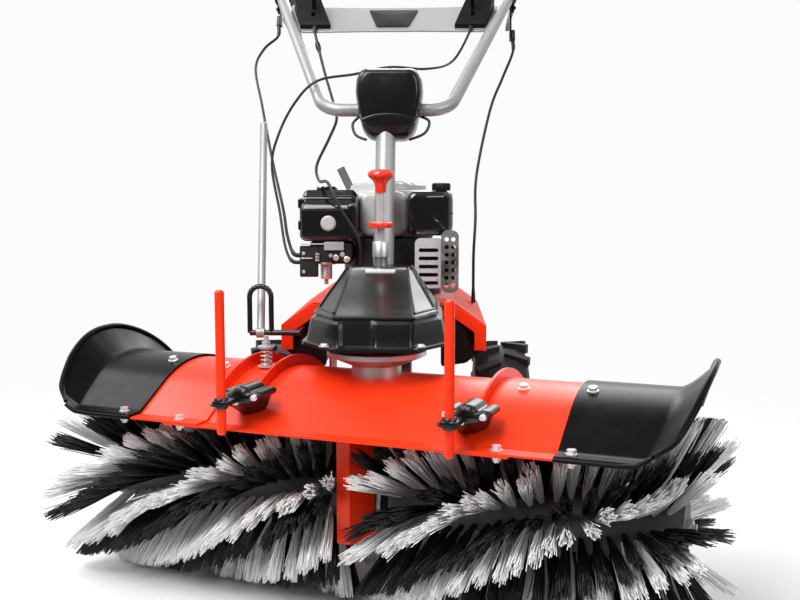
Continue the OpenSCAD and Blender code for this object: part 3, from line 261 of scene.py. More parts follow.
class Shading:
    """A node tree that hands out its nodes' outputs as values."""

    def __init__(self, tree):
        self.tree = tree

    def feed(self, socket, value):
        if isinstance(value, Value):
            self.tree.links.new(value.socket, socket)
        elif isinstance(value, tuple) and len(value) == 3 and socket.type == "RGBA":
            socket.default_value = (*value, 1.0)
        else:
            socket.default_value = value

    def node(self, kind, settings=None, sockets=None, out=0):
        """Any node: its settings first, then the values or links of its sockets; returns one output."""
        node = self.tree.nodes.new(kind)
        for key, value in (settings or {}).items():
            if key == "stops":
                while len(node.color_ramp.elements) < len(value):
                    node.color_ramp.elements.new(0.5)
                for element, (place, colour) in zip(node.color_ramp.elements, value):
                    element.position, element.color = place, (*colour, 1.0)
            else:
                setattr(node, key, value)
        for key, value in (sockets or {}).items():
            self.feed(node.inputs[key], value)
        return Value(self, node.outputs[out])

    def spot(self):
        """Object coordinates."""
        return self.node("ShaderNodeTexCoord", out=3)

    def axis(self, vector, k):
        """One component of a vector."""
        return self.node("ShaderNodeSeparateXYZ", {}, {"Vector": vector}, k)

    def step(self, value, low, high):
        """Smooth step from 0 at low to 1 at high."""
        return self.node("ShaderNodeMapRange", {"interpolation_type": "SMOOTHSTEP"},
                         {"Value": value, "From Min": low, "From Max": high})

    def noise(self, scale, detail=3.0):
        return self.node("ShaderNodeTexNoise", {}, {"Vector": self.spot(), "Scale": scale, "Detail": detail})

    def ramp(self, value, *stops):
        return self.node("ShaderNodeValToRGB", {"stops": stops}, {"Fac": value})

    def mix(self, factor, a, b):
        return self.node("ShaderNodeMix", {"data_type": "RGBA"}, {"Factor": factor, 6: a, 7: b}, out=2)

    def bump(self, height, strength, distance):
        return self.node("ShaderNodeBump", {},
                         {"Height": height, "Strength": strength, "Distance": distance})

    def attribute(self, name):
        return self.node("ShaderNodeAttribute", {"attribute_name": name}, out=2)


class Finish(Shading):
    """A material built on one Principled shader."""

    def __init__(self, name, **constants):
        self.material = bpy.data.materials.new(name)
        self.material.use_nodes = True
        super().__init__(self.material.node_tree)
        self.shader = self.tree.nodes["Principled BSDF"]
        self.set(**constants)

    def set(self, **sockets):
        for name, value in sockets.items():
            self.feed(self.shader.inputs[name.replace("_", " ").title().replace("Ior", "IOR")], value)


def paint(name, colour, shade, roughness, coat, peel=0.12, grime=0.25, metal=0.0, sheen=0.5):
    """Sprayed paint: patches of a slightly other tone, fine peel, and dulled patches."""
    f = Finish(name, metallic=metal, coat_weight=coat, coat_roughness=0.06, specular_ior_level=sheen)
    tone = f.ramp(f.noise(3.2, 4.0), (0.30, shade), (0.62, colour))
    specks = f.noise(420.0, 2.0)
    dull = f.ramp(f.noise(9.0, 6.0), (0.45, (0, 0, 0)), (0.75, (1, 1, 1)))
    f.set(base_color=f.mix(dull * grime, tone, shade),
          roughness=dull * 0.10 + roughness + specks * 0.04,
          normal=f.bump(f.noise(260.0, 2.0), peel, 0.0004))
    return f


def moulding(name, colour, worn, roughness, grain, size=900.0, coat=0.0, sheen=0.4):
    """Moulded plastic: leather-fine grain, scuffed lighter patches and uneven gloss."""
    f = Finish(name, coat_weight=coat, coat_roughness=0.08, specular_ior_level=sheen)
    scuff = f.ramp(f.noise(14.0, 7.0), (0.52, (0, 0, 0)), (0.80, (1, 1, 1)))
    f.set(base_color=f.mix(scuff, colour, worn), roughness=roughness + scuff * 0.12 + f.noise(60.0) * 0.05,
          normal=f.bump(f.noise(size, 2.0), grain, 0.0003))
    return f


def bare_metal(name, colour, dark, roughness, metal=1.0):
    """Bare metal: faint tarnish in patches and fine handling marks in the gloss."""
    f = Finish(name, metallic=metal)
    marks = f.noise(340.0, 4.0)
    stain = f.ramp(f.noise(22.0, 5.0), (0.30, dark), (0.58, colour))
    f.set(base_color=stain, roughness=roughness + marks * 0.10, normal=f.bump(marks, 0.04, 0.0002))
    return f


def cast_metal(name, colour, dark, metal=0.75):
    """Cast alloy: sandy skin with dark dust in its hollows."""
    f = Finish(name, metallic=metal)
    sand = f.noise(520.0, 3.0)
    dust = f.ramp(f.noise(26.0, 6.0), (0.35, dark), (0.65, colour))
    f.set(base_color=f.mix(sand * 0.4, dust, dark), roughness=0.42 + sand * 0.2,
          normal=f.bump(sand, 0.4, 0.0005))
    return f


def guard_metal():
    """Pressed steel of the muffler guard: bright on the slotted plate, heat-darkened on the band beside it,
    which starts across X at about 104 mm."""
    f = Finish("guard_steel", metallic=0.35)
    band = f.step(f.axis(f.spot(), 0), 0.1025, 0.1045)
    heat = f.noise(38.0, 6.0)
    bright = f.mix(heat, (0.88, 0.88, 0.90), (0.74, 0.74, 0.78))
    burnt = f.ramp(heat, (0.30, (0.060, 0.056, 0.050)), (0.68, (0.26, 0.25, 0.235)))
    f.set(base_color=f.mix(band, bright, burnt), roughness=0.20 + heat * 0.14 + band * 0.16,
          normal=f.bump(f.noise(160.0, 3.0), 0.12, 0.0004))
    return f


def soft_rubber(name, colour, dust, bloom, roughness):
    """Rubber: matt, with a bloom of dust that gathers in patches."""
    f = Finish(name)
    patch = f.ramp(f.noise(18.0, 6.0), (0.42, (0, 0, 0)), (0.78, (1, 1, 1)))
    grit = f.noise(700.0, 2.0)
    f.set(base_color=f.mix(patch * bloom, colour, dust), roughness=roughness + grit * 0.12,
          normal=f.bump(grit, 0.35, 0.0004))
    return f


def bristle(name, root, tip, spread, roughness):
    """Bristles: each strand has its own tone, darker where it leaves the core."""
    f = Finish(name, specular_ior_level=0.35)
    along = f.attribute("along")
    tone = f.attribute("tone")
    body = f.mix(along ** 0.7, root, tip)
    f.set(base_color=f.mix(tone * spread, body, root), roughness=roughness + tone * 0.12)
    return f


RED = paint("red_lacquer", (0.88, 0.040, 0.007), (0.80, 0.030, 0.005), 0.28, 0.04, sheen=0.25)
FRAME_RED = paint("frame_red_lacquer", (0.78, 0.034, 0.007), (0.68, 0.026, 0.005), 0.5, 0.0, sheen=0.12)
SATIN_BLACK = paint("satin_black_paint", (0.005, 0.005, 0.0055), (0.008, 0.008, 0.0085), 0.24, 0.05, 0.2)
SILVER = paint("silver_lacquer", (0.34, 0.345, 0.34), (0.29, 0.295, 0.29), 0.36, 0.1, 0.15, 0.2, 0.35)
WHEEL_SILVER = paint("wheel_silver", (0.46, 0.465, 0.47), (0.38, 0.385, 0.39), 0.34, 0.1, 0.15, 0.3, 0.5)
GRAINED = moulding("grained_black_moulding", (0.0035, 0.0035, 0.0037), (0.006, 0.006, 0.0062), 0.24, 0.10,
                   sheen=0.08)
POLISHED = moulding("polished_black_moulding", (0.004, 0.004, 0.0045), (0.009, 0.009, 0.0095), 0.07, 0.03,
                    500.0, 0.3, 0.8)
COVER = moulding("cover_black_moulding", (0.006, 0.0065, 0.0062), (0.009, 0.0096, 0.0092), 0.20, 0.06,
                 700.0, 0.12, 0.32)
MATT = moulding("matt_black_moulding", (0.007, 0.007, 0.0075), (0.011, 0.011, 0.0115), 0.42, 0.14,
                sheen=0.15)
SHROUD = moulding("silver_moulding", (0.50, 0.50, 0.49), (0.43, 0.43, 0.42), 0.24, 0.05, 600.0, 0.2)
DULL_GREY = moulding("dull_grey_moulding", (0.16, 0.155, 0.15), (0.24, 0.235, 0.23), 0.42, 0.2, 500.0)
KNOB = moulding("red_moulding", (0.84, 0.034, 0.010), (0.74, 0.026, 0.008), 0.22, 0.05, 600.0, 0.3)
TURNED = bare_metal("turned_alloy", (0.62, 0.615, 0.61), (0.52, 0.515, 0.51), 0.36)
STEEL = bare_metal("drawn_steel", (0.58, 0.58, 0.585), (0.44, 0.44, 0.45), 0.24)
ZINC = bare_metal("zinc_plate", (0.82, 0.82, 0.81), (0.72, 0.715, 0.70), 0.16, metal=0.6)
GUARD = guard_metal()
CAST = cast_metal("cast_alloy_skin", (0.36, 0.365, 0.37), (0.14, 0.14, 0.142))
DARK_CAST = cast_metal("dark_cast_skin", (0.030, 0.030, 0.031), (0.010, 0.010, 0.0105), 0.4)
RUBBER = soft_rubber("grip_rubber", (0.014, 0.014, 0.014), (0.04, 0.04, 0.04), 0.5, 0.52)
TYRE = soft_rubber("tyre_rubber", (0.012, 0.012, 0.012), (0.050, 0.047, 0.044), 0.6, 0.62)
SHEATH = soft_rubber("cable_sheath", (0.006, 0.006, 0.006), (0.016, 0.016, 0.016), 0.4, 0.34)
CORE = moulding("core_moulding", (0.060, 0.061, 0.062), (0.10, 0.101, 0.102), 0.5, 0.3, 400.0)
WHITE_HAIR = bristle("white_bristle_nylon", (0.74, 0.74, 0.735), (0.96, 0.96, 0.955), 0.22, 0.36)
BLACK_HAIR = bristle("black_bristle_nylon", (0.003, 0.003, 0.003), (0.009, 0.009, 0.009), 0.3, 0.38)

node_finish = {
    RED: ("hood_centre", "left_hood_wing", "right_hood_wing", "gearbox_shield", "left_post", "right_post"),
    FRAME_RED: ("chassis_frame",),
    SATIN_BLACK: ("lock_arm", "lever_brackets"),
    SILVER: ("column", "swivel_lever", "control_panel"),
    WHEEL_SILVER: ("left_rim", "right_rim"),
    MATT: ("control_boxes",),
    GRAINED: ("left_lever", "right_lever", "gear_lever", "throttle_lever"),
    DULL_GREY: ("oil_filler",),
    TURNED: ("swivel_collar", "swivel_dish", "driven_pulley"),
    STEEL: ("brush_shaft", "drive_shaft", "engine_pulley", "wheel_axle"),
    ZINC: ("hood_bolts", "spring_bolt", "plunger_rod"),
    SHROUD: ("air_filter_disc",),
    GUARD: ("muffler_guard",),
    CAST: ("gearbox_case", "transmission_case"),
    DARK_CAST: ("engine_block", "muffler"),
    RUBBER: ("v_belt",),
    TYRE: ("left_tyre", "right_tyre"),
    CORE: ("brush_cores",),
}
for finish, names in node_finish.items():
    for name in names:
        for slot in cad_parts[name].material_slots:
            slot.material = finish.material


# camera at the photograph's viewing angle
lens = bpy.data.cameras.new("camera")
lens.lens, lens.sensor_width = 45.9, 36.0
camera = bpy.data.objects.new("camera", lens)
camera.location = (0.094, -1.939, 0.663)
camera.rotation_euler = np.radians([83.9, 0.0, 2.0])
bpy.context.scene.collection.objects.link(camera)
bpy.context.scene.camera = camera


def tufts(side, first, finish, colour, seed):
    """Half a brush in one colour. Rows start 45 degrees apart at angle first and turn 120 degrees from left
    to right; tufts lean from 30 degrees outward at the brush end to 20 degrees inward at the middle. A
    strand runs from a spot in its tuft's root circle to a wider spot on the bristle cylinder, with a small
    bow between."""
    rng = np.random.default_rng(seed)
    rows, count, hairs = 8, 21, 55
    root, sink, splay_u, splay_a, sway = 0.0034, 0.001, 0.0080, 0.0084, 0.0016
    t = (np.arange(count) + 0.5) / count
    row = np.radians(45.0) * np.arange(rows)
    shape = (rows, count, hairs)
    t = np.broadcast_to(t[None, :, None], shape) + rng.normal(0, 0.004, (rows, count, 1))
    u = (0.050 if side > 0 else -0.480) + 0.430 * t
    lean = np.radians(-20.0 + 50.0 * t if side > 0 else -30.0 + 50.0 * t)
    lean = lean + np.radians(rng.normal(0, 2.2, (rows, count, 1)))
    a = np.radians(first) + row[:, None, None] + np.radians(120.0) * t
    a = a + np.radians(rng.normal(0, 1.4, (rows, count, 1)))
    spot, turn = np.sqrt(rng.random(shape)), rng.random(shape) * 2 * np.pi
    du, da = spot * np.cos(turn), spot * np.sin(turn)
    wild = np.where(rng.random(shape) < 0.08, 1.6, 1.0)
    reach = BRUSH_R - sink - 0.020 * rng.random(shape) ** 2
    k = np.array([0.0, 0.35, 0.7, 1.0])[:, None, None, None]
    r = CORE_R - sink + (reach - CORE_R) * k
    bow = rng.normal(0, sway, shape) * np.sin(np.pi * k)
    along_u = u + root * du + (r - CORE_R) * np.tan(lean) + splay_u * du * wild * k ** 1.2 + bow
    drift = rng.normal(0, sway, shape) * np.sin(np.pi * k)
    angle = a + (root * da + splay_a * wild * k ** 1.2 * da + drift) / r
    path = about_brush(along_u, r, angle).reshape(4, -1, 3)
    heading = unit(np.gradient(path, axis=0))
    across = unit(np.cross(heading, [0.3, 0.5, 0.8]))
    other = np.cross(heading, across)
    w = np.radians([90.0, 210.0, 330.0])[None, None, :, None]
    thick = np.array([0.00105, 0.00105, 0.0010, 0.00075])[:, None, None, None]
    rings = path[:, :, None] + thick * (np.cos(w) * across[:, :, None] + np.sin(w) * other[:, :, None])
    n = path.shape[1]
    points = rings.transpose(1, 0, 2, 3).reshape(-1, 3)
    i, j = np.meshgrid(np.arange(3), np.arange(3), indexing="ij")
    here, beside = i * 3 + j, i * 3 + (j + 1) % 3
    quads = np.stack([here, beside, beside + 3, here + 3], -1).reshape(-1, 4)
    start = 12 * np.arange(n)[:, None, None]
    form = Form().add(points, (start + quads).reshape(-1, 4))
    form.faces += (start[:, 0] + [9, 10, 11]).tolist()
    half = "left" if side < 0 else "right"
    obj = form.piece(f"{half}_{colour}_strands", "brush_roll", finish, f"{colour}_bristle",
                     f"{colour}_bristles", sharp=180.0, weld=False)
    shades = {"along": np.tile(np.repeat(k.ravel(), 3), n), "tone": np.repeat(rng.random(n), 12)}
    for name, values in shades.items():
        layer = obj.data.attributes.new(name, "FLOAT", "POINT")
        layer.data.foreach_set("value", values.astype(np.float32))


for side in (-1, 1):
    tufts(side, 7.5 + 12.5 * side, WHITE_HAIR, "white", 11 + side)
    tufts(side, 7.5 + 28.5 * side, BLACK_HAIR, "black", 21 + side)


def end_flare(side, name, node):
    """Black end of the hood: a section of lip, apron and arc is carried outward along the brush, stays flat
    to just past its middle, then opens along its normals, least at the lip and most over the top, to a round
    bead at the rim. A thinner hem runs along the lip, and hides the sheet under it."""
    radius, thick, low, end, bend, start = WING_HOOD_R, 0.004, 0.452, 0.524, 0.420, 0.337
    bead_r, bead_thinner, hem_r = 0.0052, 0.0020, 0.0033
    edge = np.array([[0.195, 0.3113], [0.188, 0.3113], [0.176, 0.3113], [0.1690, 0.3118], [0.1640, 0.3142]])
    foot = AXLE_Z + radius * np.sin(np.radians(60))
    apron = np.linspace(0.06, 0.97, 10)[:, None]
    slope = edge[-1] + apron * (np.array([radius * 0.5, foot]) - edge[-1])
    a = np.radians(np.linspace(60, 140, 49))
    arc = np.stack([radius * np.cos(a), AXLE_Z + radius * np.sin(a)], -1)
    section = np.vstack([edge, slope, arc])
    out = np.gradient(section, axis=0)
    out = unit(np.stack([out[:, 1], -out[:, 0]], -1))
    out[0] = (0, 1)
    angle = np.degrees(np.arctan2(section[:, 1] - AXLE_Z, section[:, 0]))
    swell = np.interp(angle, [35.9, 38, 41, 47, 60, 70, 80, 95, 110, 140],
                      [0.12, 0.30, 0.46, 0.62, 0.82, 0.93, 1, 1, 0.86, 0.5])
    t = np.concatenate([[-1], np.linspace(0, 1, 34)])
    open_t = np.clip(t, 0, 1)[:, None]
    u = np.where(t[:, None] < 0, start, bend + (low + (end - low) * swell - bend) * open_t)
    turned_up = np.clip((open_t - 0.52) / 0.48, 0, 1) ** 1.4
    rise = (0.004 + 0.037 * swell) * turned_up
    shell = []
    for lift in (0.0, thick):
        p = section[None] + out[None] * (rise + lift)[..., None]
        shell.append(on_brush(side * u, -p[..., 0], p[..., 1]))
    inner, outer = shell
    form = Form().grid(outer).grid(inner, flip=True)
    form.grid(np.stack([inner[0], outer[0]])).grid(np.stack([inner[:, 0], outer[:, 0]]))
    form.grid(np.stack([inner[:, -1], outer[:, -1]])).grid(np.stack([inner[-1], outer[-1]]))
    rim = (inner[-1] + outer[-1]) / 2 + 0.0015 * unit(outer[-1] - inner[-1])
    ends = np.vstack([rim[:1], rim[:1], rim, rim[-1:], rim[-1:]])
    rim = (ends[:-4] + ends[1:-3] + ends[2:-2] + ends[3:-1] + ends[4:]) / 5
    k = np.linspace(0, 1, len(rim))
    bead = bead_r - bead_thinner * np.exp(-(np.minimum(k, 1 - k) / 0.08) ** 2)
    form.loft(tube(rim, bead, 14, on_brush(1.0, 0, 0) - SHIFT))
    drop = on_brush(0, -0.0020, -0.0026) - SHIFT
    hem = (inner[:, 0] + outer[:, 0]) / 2 + drop * (1 - open_t)
    form.loft(tube(hem, hem_r, 12))
    form.piece(name, "brush_head", GRAINED, "black_plastic", node, sharp=40.0)


end_flare(-1, "left_flare_shell", "left_end_flare")
end_flare(1, "right_flare_shell", "right_end_flare")


def handle_tube():
    """The bent handlebar: straight lengths and 50 mm bends swept by one circle."""
    arm = np.vstack([[HEAD], arc_corner(HEAD, BAR_CORNER, BAR_TOP, BAR_BEND),
                     arc_corner(BAR_CORNER, BAR_TOP, BAR_END, BAR_BEND), [BAR_END]])
    path = np.vstack([(arm * [-1, 1, 1])[::-1], arm[1:]])
    dense = np.vstack([np.linspace(a, b, 6, endpoint=False) if np.linalg.norm(b - a) > 0.02 else a[None]
                       for a, b in zip(path[:-1], path[1:])] + [path[-1:]])
    form = Form().loft(tube(dense + SHIFT, BAR_R, 32))
    form.piece("handle_tube", "handle", SILVER, "silver_paint", "handlebar")


handle_tube()


def cable(name, points, node, thick=0.003, adjuster=False):
    """A held cable: a sheath swept along its route, with a short collar at each end and, where asked, a
    thicker adjuster sleeve a little below its upper end."""
    collar, taper, sleeve_at, sleeve_half, sleeve_r = 0.020, 0.006, 0.058, 0.011, 0.0058
    path = spline(points, 10)
    run = np.concatenate([[0], np.cumsum(np.linalg.norm(np.diff(path, axis=0), axis=1))])
    ends = np.minimum(run, run[-1] - run)
    radius = thick * (1 + 0.45 * (1 - np.clip((ends - collar) / taper, 0, 1)))
    if adjuster:
        radius = np.where(np.abs(run - sleeve_at) < sleeve_half, sleeve_r, radius)
    form = Form().loft(tube(path + SHIFT, radius, 14, (1.0, 0.13, 0.21)))
    obj = form.piece(name, None, SHEATH, "rubber", node)
    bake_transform(obj)


cable("left_clutch_cable", [
    (-0.266, 0.7569, 1.0377), (-0.268, 0.746, 1.012), (-0.294, 0.718, 0.982), (-0.304, 0.660, 0.932),
    (-0.276, 0.570, 0.845), (-0.238, 0.460, 0.726), (-0.204, 0.370, 0.630), (-0.190, 0.328, 0.578),
    (-0.176, 0.311, 0.545), (-0.159, 0.310, 0.542)], "clutch_cables")
cable("right_clutch_cable", [
    (0.266, 0.7384, 1.0007), (0.265, 0.725, 0.971), (0.240, 0.692, 0.910), (0.212, 0.650, 0.839),
    (0.180, 0.560, 0.697), (0.176, 0.500, 0.603), (0.172, 0.480, 0.530), (0.172, 0.476, 0.4335)],
    "clutch_cables")
cable("shift_cable_sheath", [
    (-0.165, 0.6131, 1.0126), (-0.165, 0.5971, 0.9999), (-0.143, 0.5602, 0.920), (-0.114, 0.480, 0.838),
    (-0.106, 0.450, 0.805), (-0.118, 0.415, 0.765), (-0.136, 0.360, 0.712), (-0.126, 0.315, 0.682),
    (-0.104, 0.257, 0.678), (-0.082, 0.236, 0.636), (-0.046, 0.236, 0.575), (-0.042, 0.245, 0.520),
    (-0.040, 0.250, 0.4625)], "shift_cable", adjuster=True)
cable("throttle_cable_sheath", [
    (0.165, 0.6131, 1.0126), (0.165, 0.5971, 0.9999), (0.128, 0.5452, 0.932), (0.075, 0.450, 0.905),
    (0.003, 0.420, 0.905), (-0.066, 0.405, 0.890), (-0.137, 0.378, 0.874), (-0.182, 0.386, 0.832),
    (-0.214, 0.388, 0.772), (-0.226, 0.378, 0.712), (-0.206, 0.340, 0.624), (-0.190, 0.297, 0.560),
    (-0.176, 0.285, 0.533), (-0.159, 0.285, 0.530)], "throttle_cable", 0.0026)


def spring_coil():
    """The small spring on its bolt: a helix of five turns with flat end turns, swept by a wire circle."""
    w = np.linspace(0, 10 * np.pi, 241)
    u, y, low, high, coil_r, wire_r = -0.190, -0.022, 0.3770, 0.4035, 0.009, 0.0014
    lift = np.clip((w - 1.2 * np.pi) / (7.6 * np.pi), 0, 1)
    climb = low + (high - low) * (0.12 * w / w[-1] + 0.88 * lift)
    path = on_brush(u + coil_r * np.cos(w), y + coil_r * np.sin(w), climb)
    Form().loft(tube(path, wire_r, 10)).piece("spring_coil", "brush_head", STEEL, "steel", "bolt_spring")


spring_coil()


def sided_loop(corners, counts, soft=2):
    """A closed polygon with a set number of points on each side, its corners eased by a mean over
    neighbours."""
    c = np.asarray(corners, float)
    p = np.vstack([np.linspace(a, b, n, endpoint=False) for a, b, n in zip(c, np.roll(c, -1, 0), counts)])
    return p[(np.arange(len(p))[:, None] + np.arange(-soft, soft + 1)) % len(p)].mean(1)


def belt_cover():
    """The belt cover lofted through its levels of half width, nose, front, corner and height: flange, skirt
    with a pressed step in its front, overhanging brow, then the sloping top; the same loops drawn in give
    its inner wall. Ribs frame the two side facets, and two screws and a pale bar sit on the shell."""
    levels = np.array([
        (119, 62, -102, -16, 420.2), (119, 62, -102, -16, 425.0), (117.5, 61, -100, -15, 426.3),
        (113, 58, -95, -14, 427.0), (112, 58, -94, -14, 429.0), (109.5, 58, -91.5, -12.5, 440.0),
        (107.5, 59, -90, -11.5, 452.0), (105, 60, -88, -10.5, 461.0), (98, 60, -82, -8, 466.5),
        (99.5, 62, -83.5, -8, 468.5), (100.5, 63, -83, -8, 471.0), (98.5, 63, -78, -6.5, 473.4),
        (93, 62, -68, 0, 476.0), (80, 57, -20, 26, 496.0), (66, 52, 30, 56, 516.0), (57, 49, 70, 84, 530.5),
        (54, 48, 82, 91, 534.8), (50, 45, 91, 96, 536.0)]) / 1000
    back = 0.160
    flat = np.stack([
        sided_loop([(-half, back), (-half, corner), (-nose, front),
                    (nose, front), (half, corner), (half, back)], (36, 34, 64, 34, 36, 20))
        for half, nose, front, corner, z in levels])
    x, y = flat[..., 0], flat[..., 1]
    skirt = ((levels[:, 4] > 0.428) & (levels[:, 4] < 0.463))[:, None]
    y = y + 0.0045 * skirt * (np.tanh((x + 0.050) / 0.003) - np.tanh(x / 0.003)) / 2 * (y < -0.080)
    loops = rig(x, y, levels[:, 4][:, None])
    middle = loops.mean(1, keepdims=True)
    drop = np.where(np.arange(len(levels)) > 0, -0.003, 0.0)[:, None, None] * [0, 0, 1]
    inside = middle + (loops - middle) * [0.965, 0.965, 1] + drop
    form = Form().loft(np.concatenate([inside[::-1], loops]))
    half, nose, front, corner, z = levels[12:17].T
    rib_r = 0.0024
    for side in (-1, 1):
        inner, outer = rig(side * nose, front, z), rig(side * half, corner, z)
        form.loft(tube(inner, rib_r, 10)).loft(tube(outer, rib_r, 10))
        form.loft(tube(np.linspace(inner[0], outer[0], 4), rib_r, 10))
    form.piece("belt_cover_shell", "chassis", COVER, "gloss_black", "belt_cover", sharp=24.0)
    screws = Form()
    head = [(0, 0.4312), (0.0052, 0.4310), (0.0060, 0.4298), (0.0060, 0.4285), (0.0085, 0.4280),
            (0.0085, 0.4262), (0, 0.4262)]
    for x in (-0.076, 0.072):
        screws.grid(lathe(head, rig(x, -0.0805, 0), sides=24), round_m=True)
    screws.piece("cover_screws", "chassis", ZINC, "zinc")

    def on_slope(loop, h):
        return rig(loop[:, 0], loop[:, 1], 0.5290 + (loop[:, 1] - 0.067) * 0.362 + h)

    bar = pad(rect(-0.023, 0.028, 0.062, 0.072, 0.003), on_slope, -0.001, 0.0034, 0.0012)
    Form().loft(bar).piece("cover_bar", "chassis", SHROUD, "silver_plastic")


belt_cover()


def head_cover():
    """The cover over the handle pivot: a shield outline lofted along Y, drawn in and rounded at the front,
    with a brow across it above the column and a wire loop out of each side."""
    outline = np.array([(-0.044, 0.891), (0.056, 0.891), (0.067, 0.876), (0.070, 0.846), (0.064, 0.808),
                        (0.055, 0.772), (0.040, 0.757), (-0.028, 0.757), (-0.043, 0.772), (-0.052, 0.808),
                        (-0.058, 0.846), (-0.055, 0.876)])
    loop = smooth_loop(outline, 144, 0.010)
    middle = np.array([0.006, 0.826])
    depth = np.array([0.2875, 0.2885, 0.2915, 0.297, 0.306, 0.330, 0.365, 0.3745, 0.3752])
    scale = np.array([0.80, 0.845, 0.89, 0.935, 0.975, 1.0, 1.0, 0.99, 0.95])
    p = middle + (loop - middle)[None] * scale[:, None, None]
    y = np.broadcast_to(depth[:, None], p.shape[:2]).copy()
    y += 0.010 * np.clip((0.800 - p[..., 1]) / 0.045, 0, 1) * (scale < 0.99)[:, None]
    form = Form().loft(rig(p[..., 0], y, p[..., 1]))
    brow = smooth_loop([(-0.043, 0.787), (0.055, 0.787), (0.058, 0.797), (0.034, 0.805), (0.006, 0.8075),
                        (-0.022, 0.805), (-0.046, 0.797)], 120, 0.008)
    form.loft(pad(brow, upright, 0.2840, 0.320, 0.004))
    form.piece("head_cover_shell", "chassis", COVER, "black_plastic", "head_cover", sharp=40.0)
    wires = Form()
    left = [(-0.050, 0.330, 0.803), (-0.063, 0.325, 0.789), (-0.057, 0.315, 0.768), (-0.036, 0.306, 0.758)]
    right = [(0.064, 0.330, 0.803), (0.081, 0.325, 0.793), (0.073, 0.315, 0.771), (0.044, 0.306, 0.758)]
    for bend in (left, right):
        wires.loft(tube(spline(bend, 12) + SHIFT, 0.0026, 12))
    wires.piece("head_wire_loops", "chassis", SHEATH, "rubber")


head_cover()


def badge_plate():
    """A bare plate on the control panel, wider at its top, and the rolled hem along the panel's lower
    edge."""
    tilt = np.arctan2(BAR_DIR[2], BAR_DIR[1])
    base = HEAD + BAR_DIR * [0, 1, 1]

    def on_panel(loop, h):
        y = loop[:, 1]
        return rig(loop[:, 0], base[1] + y * np.cos(tilt) - h * np.sin(tilt),
                   base[2] + y * np.sin(tilt) + h * np.cos(tilt))

    plate = smooth_loop([(-0.0345, 0.0035), (0.0345, 0.0035), (0.0545, 0.0865), (-0.0545, 0.0865)],
                        160, 0.004)
    plate = pad(plate, on_panel, 0.0012, 0.0032, 0.0008)
    Form().loft(plate).piece("badge_plate", "handle", MATT, "gloss_black")
    edge = np.array([(-0.192, -0.0155), (-0.100, -0.0128), (-0.050, -0.0118), (0.050, -0.0118),
                     (0.100, -0.0128), (0.192, -0.0155)])
    x = np.linspace(-0.192, 0.192, 40)
    path = np.stack([x, np.interp(x, *edge.T)], -1)
    Form().loft(tube(on_panel(path, 0.0), 0.0024, 12)).piece("panel_hem", "handle", SILVER, "silver_paint")


badge_plate()


def air_box():
    """The air filter box: a rounded front drawn back along Y under a sloping lid, with a lid line, a seam
    ring, side clips, a breather on its right and a low cap behind."""
    def under_lid(rings, low, high, over=0.0):
        y = rings[..., 1] - SHIFT[1]
        top = np.minimum(high, 0.6347 + over + (y - 0.252) * 0.812)
        rings[..., 2] = low + (rings[..., 2] - low) * (top - low) / (high - low)
        return rings

    steps = np.linspace(0.262, 0.306, 9)
    box = pad(rect(-0.155, -0.0501, 0.573, 0.665, 0.013), upright, 0.252, 0.318, 0.008, steps)
    seam = pad(rect(-0.158, -0.0501, 0.570, 0.668, 0.014), upright, 0.2675, 0.2745, 0.002)
    form = Form().loft(under_lid(box, 0.573, 0.665))
    form.loft(pad(rect(-0.150, -0.057, 0.578, 0.660, 0.010), upright, 0.312, 0.335, 0.006))
    form.loft(under_lid(seam, 0.570, 0.668, 0.003))
    form.loft(pad(rect(-0.151, -0.058, 0.6265, 0.6320, 0.0026), upright, 0.2495, 0.262, 0.002))
    form.loft(pad(rect(-0.068, -0.0502, 0.571, 0.640, 0.007), upright, 0.2485, 0.275, 0.005))
    for z in (0.600, 0.640):
        form.loft(pad(rect(-0.1605, -0.150, z - 0.009, z + 0.009, 0.003), upright, 0.262, 0.281, 0.002))
    cap = [(0, 0.655), (0.020, 0.655), (0.020, 0.6690), (0.018, 0.6715), (0, 0.6720)]
    form.loft(lathe(cap, rig(-0.112, 0.316, 0)))
    form.piece("air_box_shell", "chassis", POLISHED, "gloss_black", "air_filter_box")


air_box()


